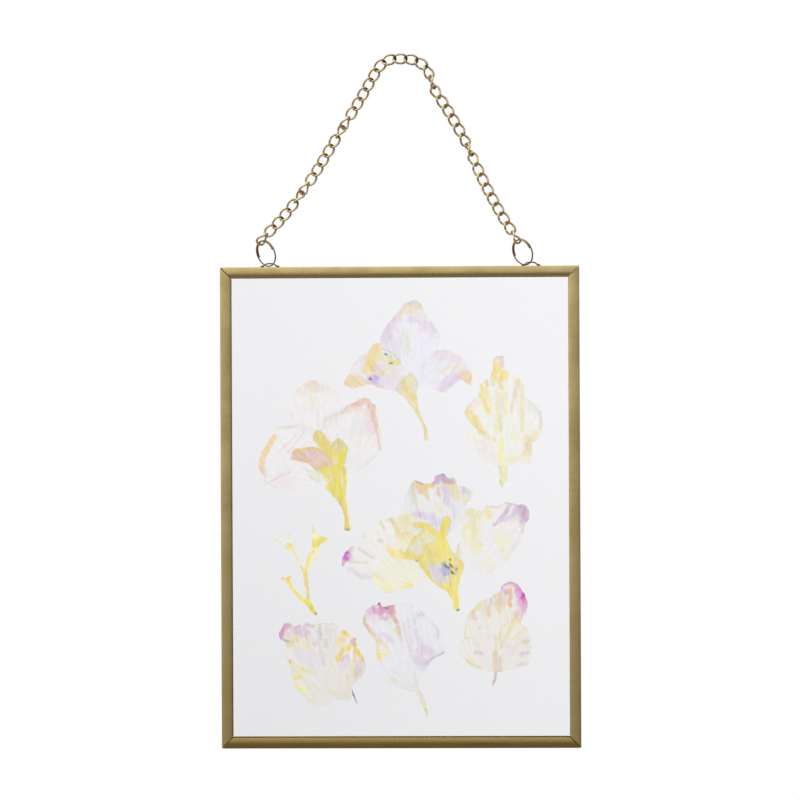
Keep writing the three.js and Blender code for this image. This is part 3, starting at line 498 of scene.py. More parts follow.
flower_centre = join_sheets("pressed_flower_centre", (15, -20), [
    pressed_sheet([
        -15.2, 12, -15.2, 16.2, -14.6, 20, -13.5, 23.4, -11.2, 28.4, -9.2, 31.2, -6.1, 30.4,
        -3.9, 29.8, -1.1, 30.6, -0.5, 32.9, 2.8, 34, 5.1, 32.3, 7.8, 32, 8.9, 28.9, 12.3, 28.3,
        15.1, 26.6, 14.5, 23.3, 12.3, 20.5, 11, 14, 4, 8, -6, 8,
    ], (5, -2), 1, "EAE9E8", [
        ("F1E8B9", 0.8, 0.6, 0, 21.8, 1, 17.8), ("E3D9A8", 1.6, 0.8, 4.5, 28.8, 7, 28.8, 8, 24.8),
        ("DFDBA4", 0.8, 0.7, 12.5, 28.3, 13.5, 25.3), ("E6E2C0", 1.8, 0.8, 10.5, 23.8, 12.5, 21.8),
        ("DAD6DD", 1.3, 0.7, -10.8, 28.8, -10.3, 24.8, -9, 21.8),
        ("DAD39E", 0.5, 0.7, -10.5, 29.8, -9.8, 26.8, -9, 22.8, -8, 19.8),
        ("E7CA95", 1.5, 0.95, -8.5, 30.3, -6.5, 27.3, -4, 28.8, -2, 29.8),
        ("EED26E", 1.1, 0.9, -2.5, 29.8, -1.5, 28.8), ("DCC0A3", 1, 0.8, 0.5, 27.8, 1, 25.3),
        ("E8CE9B", 0.8, 0.9, -5, 27.3, -3.8, 23.8), ("DDCF9B", 0.9, 0.8, 6.5, 31.3, 8, 30.8),
        ("CEB0CA", 1.5, 0.95, -0.2, 30.8, 2, 32.8, 4.2, 32.3), ("C9A8B0", 1, 0.8, 4, 30.8, 6.5, 30.3),
        ("A48DB4", 0.4, 0.7, 2.2, 34, 3.8, 33.6),
        ("DDCFDD", 1.5, 0.9, 3.5, 27.3, 4.7, 24.3, 4.2, 21.3),
        ("BFA8A8", 0.5, 0.7, -8, 30.6, -5.5, 29.6), ("DACDDA", 1.4, 0.85, 10.5, 29.8, 11.7, 26.8),
        ("DDCFDD", 2, 0.9, -7.5, 17.3, -5.5, 16.3), ("C1AFBE", 0.35, 0.7, -7, 17.6, -6.6, 16.4),
        ("DFD4E0", 1.7, 0.85, -1.7, 15.8, -0.2, 12.8), ("DED3DD", 1.1, 0.6, 6.5, 20.8, 7.5, 16.8),
    ], 41),
    pressed_sheet([
        8, 0, 10.2, 8.2, 11.2, 16, 13.4, 19.4, 19, 18.8, 21.3, 21, 25.2, 20.2, 29.7, 22.1, 34.1, 20.9,
        36.9, 20.9, 38.6, 18.7, 38.9, 15.3, 36.9, 12.5, 36.3, 8.1, 34.1, 3.6, 30.7, -1.5, 27.3, -4.8,
        21.7, -8.1, 17.2, -7.5, 13.3, -5.3, 11.1, -4.7, 8, -4,
    ], (6, -6), 0, "EFEDE9", [
        ("EEEBC4", 3.4, 0.7, 13, 8.8, 15, 5.8), ("E9E3B0", 2.8, 0.75, 13, 19.3, 17, 16.8, 15, 12.8),
        ("EAE1B1", 1.6, 0.85, 9.5, 14.8, 8.5, 9.8, 8, 4.8, 9, 1.3),
        ("DDD49D", 0.7, 0.7, 7.8, 8.8, 7.4, 5.8, 8.5, 1.8),
        ("F3EBB9", 0.8, 0.7, 15.5, 1.3, 17, 2.8, 18.5, 4.3),
        ("EFDEAE", 1.3, 0.9, 20.5, 19.3, 21.5, 16.8),
        ("D9D5B4", 0.5, 0.7, 21, 20.1, 25, 20, 29, 21.6, 33, 21.3),
        ("CAAAC8", 2.2, 0.9, 35, 20.3, 36.5, 17.8, 36.8, 14.8),
        ("DCBAB4", 0.8, 0.7, 38.2, 18.3, 38, 16.3),
        ("CFBFD3", 0.7, 0.85, 31.5, 21.3, 29, 17.8, 26.5, 14.8, 24.5, 12.3),
        ("DBCCDC", 1.1, 0.8, 33.5, 18.8, 31, 15.8, 27, 14.3),
        ("DDCBD9", 0.9, 0.6, 36, 13.8, 35.8, 9.8), ("E2DAC4", 0.8, 0.6, 32.5, 14.3, 35, 15.3),
        ("EFEDC8", 2.2, 0.7, 26, 6.3, 29, 5.3), ("F4E7B0", 0.9, 0.9, 27, 2.3, 28, 1.5),
        ("F4E7B0", 0.9, 0.85, 29.5, -0.7), ("ECEBD8", 1.7, 0.6, 21, -3.2, 23, -5.7),
        ("E6E2E0", 1.5, 0.6, 31, 0.8, 34, 4.8),
    ], 42),
    pressed_sheet([
        -39.6, -4.5, -39.3, -1.1, -37.7, 1.7, -35.4, 3.9, -33.2, 4.4, -31.5, 8.4, -28.7, 12.3,
        -23.6, 14.5, -19.7, 15.6, -15.2, 16.7, -9.6, 16.7, -2, 10, 0, 0, -2, -7, -4.7, -9.1,
        -6.3, -11.4, -9.7, -14.2, -14.2, -14.1, -18.7, -15.8, -22, -15.5, -26, -13, -28.2, -10.1,
        -31.6, -10.1, -34.9, -7.9, -38.3, -6.2,
    ], (3, -3), 0, "EEECE5", [
        ("EFEDCE", 4, 0.5, -20, -5.2, -13, -6.2), ("F0EDB4", 1.7, 0.7, -14, 16.8, -11, 14.8),
        ("F1E8B2", 2.6, 0.75, -14, 13.8, -13.5, 5.8),
        ("EADCAC", 1.2, 0.8, -16, 10.8, -15.5, 7.8, -13, 9), ("EDDB97", 0.8, 0.8, -12, 9.3, -10, 7.8),
        ("EFE1B2", 0.8, 0.8, -20.5, 3.3, -19.5, 1.8),
        ("F4E394", 1.9, 1, -18.5, 1, -16, 0.3, -14.5, -1), ("EFDA7D", 1.1, 0.85, -13, 0.3, -10, -0.2),
        ("E2D9A4", 0.9, 0.9, -19.8, 15, -17.5, 13.3), ("DCD7A8", 0.6, 0.7, -23, 13.8, -21.5, 11.3),
        ("D8CCCC", 0.6, 0.6, -31, 8.3, -30, 7.3), ("D9CFC0", 0.6, 0.6, -24.5, 5.8, -22.5, 5.8),
        ("DDCACC", 0.5, 0.7, -32.5, 2.8, -29, 0.3, -26.5, -1.2),
        ("E2CFC9", 0.6, 0.6, -35, -2.7, -29, -3.2),
        ("DED7DD", 1, 0.7, -36.5, -5.7, -32, -8.7, -28, -9.2),
        ("F4E7B1", 1.1, 0.9, -26, -8.7, -24, -9.7), ("EEEBB4", 1.5, 0.8, -22, -12.7, -20, -15.2),
        ("F1EFC8", 1.6, 0.6, -25, -11.2, -15, -13.2, -9, -9.7),
        ("F4E8A6", 1.3, 0.95, -13.5, -13, -11.2, -13), ("DCC6CC", 0.7, 0.7, -37, 2.3, -35, 4),
        ("DFB8D9", 1.2, 0.7, -36.5, -1.7, -36, 1.3), ("C870BF", 1.4, 1, -38.2, 0.6, -38.4, -1.2),
        ("D38CBB", 0.8, 0.9, -39, -3.2, -39.2, -4.2), ("8C4A88", 0.4, 0.9, -38.2, 1, -37.6, 1.1),
        ("9C5A98", 0.3, 0.8, -39.2, -0.8),
    ], 43),
    pressed_sheet([
        -11.5, 4.8, -10, 7.3, -7.5, 8.8, -6, 10.8, -9.5, 11.8, -9.8, 13.2, -4.5, 13.4, -2, 11.6,
        1, 9.4, 2, 12.8, 3.3, 15.8, 5.2, 16.1, 6, 14.6, 5, 10.8, 4.2, 7.3, 5.5, 3.8, 7.5, 0.3,
        9.5, -1.7, 11.3, -3.7, 11, -6.7, 9.6, -10.7, 9, -14.7, 9.2, -19.2, 9.5, -23, 7.8, -23,
        6.2, -18.7, 4.5, -15.6, 0, -12.8, -4, -8.7, -6.4, -5, -9, -2.5, -12.5, -1.5, -14.5, -0.2,
        -13, 1.5,
    ], (9, -26), -1, "EFE387", [
        ("E9E7DC", 2, 0.9, -9.5, 3.3, -7, 4.8, -8, 1.8), ("EEEBD0", 1.7, 0.85, -5, 8.3, -2, 6.8),
        ("ECDAA9", 0.8, 0.7, -5, 3.8, -2, 0.8), ("E6E0D4", 1, 0.6, 7, 1.8, 8, -0.7),
        ("EFDE84", 0.8, 0.95, -11, 4.8, -9.5, 6.8, -7, 8.3),
        ("F4E06E", 0.9, 0.95, -8.5, 12.6, -5, 12.5, -2.5, 10.8),
        ("F4E06E", 0.8, 0.95, -3, 10.8, 1, 8.3), ("F4E067", 1.2, 0.95, 4.5, 14.8, 2.5, 10.8, 1.2, 7.8),
        ("F4E067", 1, 0.95, 2.5, 7.8, 3.5, 3.8, 1.5, 0.8),
        ("EFDA7D", 1.3, 0.8, -12, 0.3, -7, -1.2, -3, 0.8, 1, -0.7),
        ("EFDD6E", 1.1, 0.95, -6.5, -2.7, -5, -6.2, -2, -10.2, 1.5, -13.2, 5, -15.7),
        ("EEDE7D", 1.2, 0.9, 9, -2.2, 10, -7.2, 9, -12.2),
        ("DED8E2", 2.3, 1, -1, -5.7, 1, -8.7, 2.5, -10.2),
        ("EEDB84", 0.5, 0.9, -2.5, -3.2, -0.5, -3.7, 1, -2.2),
        ("E4D4C4", 0.8, 0.7, 2, -10.5, 6, -10.2), ("B6B6CD", 1.3, 0.95, 3, -3.9, 4.2, -6.2, 3.5, -8.2),
        ("D4B8DE", 0.8, 0.8, 1.8, -6.7), ("F4E376", 1.4, 0.95, 6.5, -13.2, 7, -17.2, 8.3, -21.2),
        ("DDCB7C", 0.3, 0.6, 5.5, -10.2, 6.7, -16.2), ("D8BDA8", 1, 0.7, 7, -4.7, 8, -7.2),
        ("454C74", 0.4, 0.9, 3.5, -4.4, 4.8, -5.5), ("524238", 0.35, 0.9, 5.8, -3.9, 6.5, -5.2),
        ("524238", 0.45, 0.9, 6.3, -7, 6.9, -7.7), ("524238", 0.45, 0.9, 8.3, -6),
        ("6E5E36", 0.3, 0.9, 5.7, -2), ("7E7850", 0.3, 0.9, -8.7, -2.5, -7.8, -2.4),
        ("6E6632", 0.5, 1, 9.1, -23),
    ], 44),
], petal_tissue, 6)
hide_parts("flower_centre")
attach(flower_centre, "frame")


# Sprig of stamens: the yellow filaments of one flower, split apart and pressed, with their
# swollen heads and two pale wisps.

def strand(line, widths):
    """The outline of a flat strand along a line, as wide as widths says at each of its points."""
    line, half = np.reshape(line, (-1, 2)).astype(float), np.array(widths) / 2
    ahead = np.gradient(line, axis=0)
    ahead /= np.linalg.norm(ahead, axis=1)[:, None]
    side = np.stack([-ahead[:, 1], ahead[:, 0]], axis=1) * half[:, None]
    return np.vstack([line + side, (line - side)[::-1]])


# Pollen and filament tissue is denser than a petal, so less light comes through, and it keeps a
# strong yellow.
stamen_tissue = tissue("pressed stamens with pollen", 0.25, 0.2)
stamen_sprig = join_sheets("pressed_stamen_sprig", (-40, -25), [
    pressed_sheet(strand([
        4.4, -19.8, 2.5, -17, 1.2, -13.2, 0.9, -9.2, 0.2, -5.2, 0, -1.8
    ], [1.1, 1.9, 1.3, 1.1, 1.7, 1.3]), (6, -28), 0, "EEE36B", [
        ("DCCD5C", 0.8, 0.7, 3.5, -18.2, 2.5, -16.2), ("D1BD96", 0.4, 0.8, 1.3, -13.2, 1.2, -8.2),
        ("EFD285", 0.9, 0.9, 0.2, -3.2, 0.1, -7.2), ("96894C", 0.6, 0.9, 4.4, -19.6),
    ], 51),
    pressed_sheet([
        -0.6, -3.2, 0, 0.8, 0.7, 3.8, 1.8, 6.6, 3, 9, 3.3, 12.3, 3.1, 15.3, 2.5, 17.3, 3.4, 17.8,
        4.2, 15.3, 5.5, 13.3, 7.5, 12.8, 9.5, 12.6, 9.2, 11.3, 7.2, 10, 6, 8.6, 6.1, 6.8, 4.7, 3.8,
        3, 1.6, 1.5, -0.7, 1, -3.2,
    ], (1, -8), 1, "F3ECBC", [
        ("DAD9A8", 0.7, 0.8, 3, 16.8, 3.5, 15.3), ("EEDA61", 1.4, 0.95, 3.8, 9.8, 6.5, 10, 7.7, 11.8),
        ("ECDC98", 0.8, 0.8, 3.2, 6.8, 1.4, 3.3), ("F4E083", 0.7, 0.9, 1.4, 3.8, 0.5, -1.2),
        ("D3C799", 0.5, 0.6, 9.2, 12),
    ], 52),
    pressed_sheet([
        -0.9, -3.2, -1.8, -1.2, -3, 1.8, -4, 4.3, -6, 6.8, -8, 7.6, -9, 9, -8, 10, -6.5, 10.2, -5, 9.3,
        -4, 6.8, -2.8, 4.3, -1.5, 1, 0, -2.2,
    ], (-0.5, -6), 0, "EFE7B2", [
        ("F2DE89", 1.2, 0.95, -7.5, 8.8, -6.2, 8.8), ("E1D3A2", 0.7, 0.7, -1.8, -0.2),
        ("F4DE64", 0.9, 0.95, -0.6, -2.5),
    ], 53),
    pressed_sheet(strand([
        -6.6, 8.8, -6.4, 11.4, -6.9, 13.4, -7.3, 15.4
    ], [1.8, 2, 1.2, 0.6]), (-5, -2), 1, "EAEBDA", [
        ("E2E4CC", 0.7, 0.6, -7, 14.3, -6.8, 12.8),
    ], 54),
    pressed_sheet(strand([
        -7.6, 8.8, -9.4, 10.2, -11, 11.2, -12.4, 12
    ], [1.4, 1.8, 2, 0.8]), (-5, -2), -0.5, "EBEBDC", [
        ("E6E4C8", 0.9, 0.6, -11, 11),
    ], 55),
    pressed_sheet(strand([
        3, -17, 0, -14.4, -3.3, -11.4, -5.8, -8.4, -7.2, -5.8, -9.6, -4.6
    ], [1.7, 2, 1.8, 1.7, 1.8, 0.9]), (4, -20), 1, "EFE587", [
        ("F4DD6C", 0.8, 0.85, 1, -15.2, -2.5, -12.2), ("EFCE9E", 0.8, 0.6, -4, -10.7),
        ("F4E291", 0.8, 0.8, -6.3, -7.2), ("D8D4C4", 0.7, 0.8, -9.4, -4.5),
    ], 56),
    pressed_sheet([
        -7.5, -3.9, -6.8, -3.4, -5.9, -3.6, -5.7, -4.4, -6.4, -5.4, -7.4, -5.4,
    ], (-7, -8), 0, "F1D388", [], 57),
], stamen_tissue, 7)
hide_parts("stamen_sprig")
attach(stamen_sprig, "frame")


# Lower left petal: broad and lobed, with a mauve edge that dried curled over, golden folds on
# the right and a dark thread of a stalk.

petal_lower_left = join_sheets("pressed_petal_lower_left", (-30, -65), [
    pressed_sheet([
        -21, 11.8, -20.1, 14.6, -18.4, 16.6, -16, 16.6, -14.6, 15.2, -12.2, 16.2, -9.4, 17.1,
        -7.3, 15.9, -4.5, 16.5, -1, 16.7, 2.8, 16.2, 4.5, 13.7, 6.9, 13.4, 9, 11, 11.1, 10.2,
        11.7, 6.8, 13.8, 3.7, 15.2, -0.9, 14.5, -5.4, 11.7, -7.8, 9.6, -9.5, 9.2, -11.6, 9.4, -13.5,
        8.6, -15.6, 5.7, -16.1, 1.6, -15.7, -1.9, -17.8, -5.4, -18.8, -8.1, -17.8, -10.2, -15.7,
        -12.3, -12.9, -14, -10.4, -15.4, -6.6, -16.4, -3.1, -17.4, 1, -18.5, 3.8, -18.4, 6.9, -18.8, 9,
        -20.5, 9.7,
    ], (8, -13), 0, "E9E6DE", [
        ("E2E0E5", 2.6, 0.6, -14, 2.8, -8, 1.8, -5, -0.2), ("E8E0D0", 1.8, 0.7, 2, -12.2, 6, -13.2),
        ("E6DCCB", 1.4, 0.8, 8, -6.2, 9, -10.2), ("D8C4C0", 0.4, 0.6, -10.2, 13, -9.3, 9.3),
        ("C4BABC", 0.45, 0.7, -3.9, 15.3, -3.6, 11.8), ("D9CED9", 1, 0.8, -5, 12.8, -4, 10.3),
        ("BEB6BA", 0.4, 0.7, -6.6, 8.3, -6, 7.3),
        ("DCD2D8", 0.7, 0.6, -5.5, 9.3, -4, 6.3, -2.6, 3.3, -2, -0.2),
        ("D7CAD1", 0.8, 0.7, -1.5, 9.3, -1.3, 6.8), ("DFD6D8", 1.3, 0.6, -0.5, 13.8, 0, 9.8),
        ("D6D3A4", 0.4, 0.7, -5, 16.3, -1, 16.8, 1.5, 16.2),
        ("DDC0D2", 1.2, 0.7, -13.5, 12.8, -11.5, 11.3),
        ("E1C8DC", 1.5, 0.85, -12.5, 13.8, -10.7, 14.3, -9.2, 13.3),
        ("B9AAB2", 0.4, 0.7, -14.1, 15.2, -12.8, 15.4),
        ("D8BCC4", 0.7, 0.7, -9.5, 16.3, -8.3, 15.8, -6.5, 15.3),
        ("DAB4C3", 0.8, 0.6, -15.6, 14.3, -14.6, 12.3), ("EAD7CC", 1.1, 0.85, -18, 12.8, -17, 10.8),
        ("D69CC3", 1, 0.95, -20.3, 11.8, -19.8, 13.3, -18.8, 14.8),
        ("DAA8C9", 0.9, 0.85, -18, 15.3, -16.5, 15.6),
        ("CAA0BD", 0.6, 0.85, -20.5, 10.8, -19, 9.4, -17, 9.1),
        ("B0A2AC", 0.4, 0.7, -17.5, 16.3, -16.3, 16.2), ("D8CEA0", 0.4, 0.5, -17.6, 12.3),
        ("E3DAA9", 1.2, 0.8, -17.5, 7.8, -15.5, 7.8, -14.5, 9.3),
        ("E8D89B", 0.8, 0.8, -14.3, 10.8, -13.3, 9.3),
        ("EEE4B8", 0.9, 0.7, -13, 8.8, -11.5, 7.3, -8, 6.3),
        ("D8C89E", 0.6, 0.9, -16.8, 0.8, -15.6, 0.1),
        ("EAE2AE", 0.8, 0.9, -15, -0.2, -13, -1.7, -11, -3.2, -7.5, -3.7),
        ("E4D790", 0.6, 0.8, -11.5, -2.7), ("F1EBB2", 0.8, 0.7, -12, -4.7, -10.5, -6.2),
        ("F1E182", 1, 0.95, -14.3, -6.2, -12.5, -5.7),
        ("F0EAAE", 0.9, 0.9, -13.6, -10, -11.5, -11, -10.3, -10.7), ("EFEBB4", 1, 0.7, -10, -12.2),
        ("F3E098", 1, 0.9, 4, 8.8, 4.2, 7.3), ("EED6A0", 0.9, 0.9, 5.6, 10.3, 6.3, 8.8),
        ("EFD85F", 1.2, 1, 6.5, 12.5, 7.4, 12), ("ECEAE6", 0.5, 0.9, 7.6, 9.3, 6, 6.8),
        ("F2DA80", 1, 0.95, 3.4, 1.1, 5, 4.3, 6.7, 6.2, 8.5, 6.6),
        ("DCC392", 0.25, 0.6, 3.5, 0.8, 4.5, 3.3, 6, 5.3), ("EDD56C", 0.7, 0.95, 11.4, 8, 10.4, 6.8),
        ("E0BAB4", 0.8, 0.9, 9.6, 8.8, 10.1, 7.8), ("C0A368", 0.45, 0.8, 10.5, 9.9, 11.4, 9.6),
        ("EED69F", 0.8, 0.9, 11, 5.3, 10.6, 0.8),
        ("F0D571", 0.8, 0.95, 11.2, 5.3, 12.4, 3.5, 13.7, 1.8),
        ("E6CC92", 0.5, 0.8, 14, 1.3, 14.8, -0.2, 14.9, -2.2), ("F0EFEE", 0.5, 0.9, 9, 4.3, 9.4, 1.8),
        ("E5DAE1", 1.4, 0.85, 6.5, 1.8, 7.5, 0.8, 6, -1.7),
        ("C5B7BF", 0.25, 0.7, 5, 0.3, 6, 2.3, 7.4, 3.1, 8.4, 1.8),
        ("E6E0A8", 0.8, 0.7, 9.7, -1.2, 10, -4.7),
        ("D8C4B4", 0.8, 0.6, 13.5, 1.3, 11.5, -2.2, 11, -5.7),
        ("E0D2D7", 1.2, 0.85, 12.2, 0.3, 13, -2.2, 12, -4.7), ("B9ACB3", 0.45, 0.6, 13, -2.7),
    ], 61),
    pressed_sheet(strand([
        9.4, -11, 9.8, -12.8, 10.6, -14.8, 11.6, -17
    ], [0.5, 0.6, 0.5, 0.3]), (8, -8), -1, "A898A8", [
        ("B8AFA6", 0.5, 0.7, 9.4, -11.2),
    ], 62),
], petal_tissue, 8)
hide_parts("petal_lower_left")
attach(petal_lower_left, "frame")


# Lower middle petal: thin and pale, with a magenta corner, veins that fan out from a long
# curved root, and a fold across its right side.

petal_lower_middle = join_sheets("pressed_petal_lower_middle", (0, -60), [
    pressed_sheet([
        -16.1, 13.1, -15, 16.4, -13.2, 18.5, -10.3, 19.4, -8.9, 20.3, -7.8, 18.5, -6, 18.8, -3.1, 19.2,
        -0.2, 19.9, 3.4, 19.9, 6.6, 18.1, 9.5, 15.9, 12.4, 13.3, 14.9, 10.8, 16.3, 7.2, 17.3, 3.6,
        18.4, -0.7, 14.8, -2.9, 12.3, -5, 10.5, -7.9, 8.7, -10.8, 7.2, -13.7, 7.2, -15.8, 8.6, -18,
        10.4, -22.7, 11, -27, 10.3, -27.9, 9.3, -24.5, 6.8, -18.7, 5.4, -16.9, 1.8, -16.1, -3.3, -14.7,
        -7.6, -12.9, -10.8, -10.7, -11.9, -8.2, -11.2, -4.9, -10.4, -2.4, -10.7, 3, -12.2, 6.3,
        -14, 8.4, -15.8, 11,
    ], (6.5, -16), 0, "EAEAEC", [
        ("E2E5D2", 1, 0.8, -5, -12.7, -2, -12.7), ("E4E6DC", 1.3, 0.6, 1, -14.2, 5, -15.7),
        ("E6E3D8", 0.8, 0.6, 5.5, -10.2, 6.3, -14.7), ("D9D4CC", 0.4, 0.6, -3.2, -8.9, -2, -9.2),
        ("E7DDE6", 1.5, 0.8, -12.5, 13.8, -10.5, 12.8),
        ("E3C5A6", 0.6, 0.9, -15.3, 14.3, -15.3, 11.8, -14.3, 9.8, -13, 7.8),
        ("E3CFAA", 1, 0.9, -13, 8.3, -11.8, 6.3), ("E0BBB0", 0.5, 0.6, -14, 10.8, -13.6, 9.3),
        ("E5C6D7", 1.3, 0.9, -13, 16.3, -11.5, 16.8), ("E0BEC7", 0.8, 0.8, -12, 18.6, -10.5, 18.8),
        ("DFA8CB", 1.6, 0.95, -10, 16.8, -8, 16.3, -6, 16.8), ("E2B8B8", 1, 0.8, -8, 13.8, -6, 13.5),
        ("D9A0BA", 0.8, 0.9, -8.5, 18.6, -6, 17.5), ("DA9CA5", 1.1, 0.95, -4.3, 18.3, -3.8, 15.8),
        ("DCA8B0", 0.7, 0.8, -3, 18.8, -2.8, 16.3), ("A86A90", 0.55, 0.9, -9.5, 19.5, -8.8, 19.8),
        ("8A4C78", 0.35, 0.9, -7, 18.2, -5.7, 17.7),
        ("E1B8A2", 0.75, 0.95, -4.2, 14.8, -3, 13.3, -1.8, 11.8),
        ("DCC0C0", 0.7, 0.85, -1.5, 9.8, -0.2, 6.8), ("E4D2BE", 0.7, 0.8, -2.2, 9.3, -1.4, 7.8, 0, 5),
        ("E2E1B4", 0.5, 0.7, -5, 12.8, -4.3, 10.8), ("ECE9C4", 0.5, 0.6, -3.3, 9.8, -2.5, 6.8),
        ("E4DDB0", 0.7, 0.7, -11, 5.8, -10, 4.6), ("EAD2D8", 0.8, 0.7, -9, 5.3, -8.5, 3.8),
        ("EDE29C", 0.75, 0.95, -10.3, 4.3, -10, 1.8, -10, -1.2),
        ("F0E391", 0.6, 0.8, -7.3, 3.3, -6.3, 1.3), ("F1EBAE", 0.7, 0.9, -8, -2, -6.3, -1.6),
        ("F4E374", 0.8, 0.95, -9.6, -2.5, -9, -3),
        ("E0D4DF", 0.8, 0.8, -8, 7.3, -6, 5.8, -5, 4.3, -3.5, 4), ("CAC1CA", 0.35, 0.6, -5.7, 4.1),
        ("E4D6DB", 0.5, 0.75, 1.5, 11.8, 1.8, 7.8, 2.6, 3.8, 4, -0.2, 5, -4.2),
        ("E4D6DB", 0.4, 0.75, 3, 13.8, 3.5, 8.8, 4.6, 2.8, 5.6, -3.2),
        ("DECDD2", 0.4, 0.7, 5.5, 13.8, 5.8, 10.8), ("DBD2E0", 0.8, 0.8, 6, 8.8, 6.4, 5.8, 7.4, 3.8),
        ("DACFD3", 0.8, 0.7, 7.5, 14.8, 9.5, 15.6),
        ("DCD1D6", 0.5, 0.7, 13.5, 10.8, 15, 10, 15.8, 7.8, 15.2, 5.3),
        ("E3D4E2", 2, 0.9, 8.5, 0.8, 11, -0.2, 12.5, -1.7), ("DDD0DD", 2.1, 0.75, 7, -4.2, 10, -5.7),
        ("CBC2C9", 0.35, 0.9, 18.3, -0.5, 15.5, -2, 12, -4, 10, -5.7),
        ("EAE3C0", 0.8, 0.9, 7, -15.7, 8.5, -19.7, 9.8, -22.2),
        ("C4C2C4", 0.4, 0.85, 8, -16.2, 8.8, -18.7), ("E6E4B0", 0.8, 0.9, 10, -23.2, 10.8, -26.2),
        ("D2C79E", 0.25, 0.6, 10.4, -24.2, 10.9, -26.7),
    ], 71),
], petal_tissue, 9)
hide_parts("petal_lower_middle")
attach(petal_lower_middle, "frame")


# Lower right petal: stands upright with a strong magenta shoulder, peach patches and two long
# yellow veins that meet in its root.

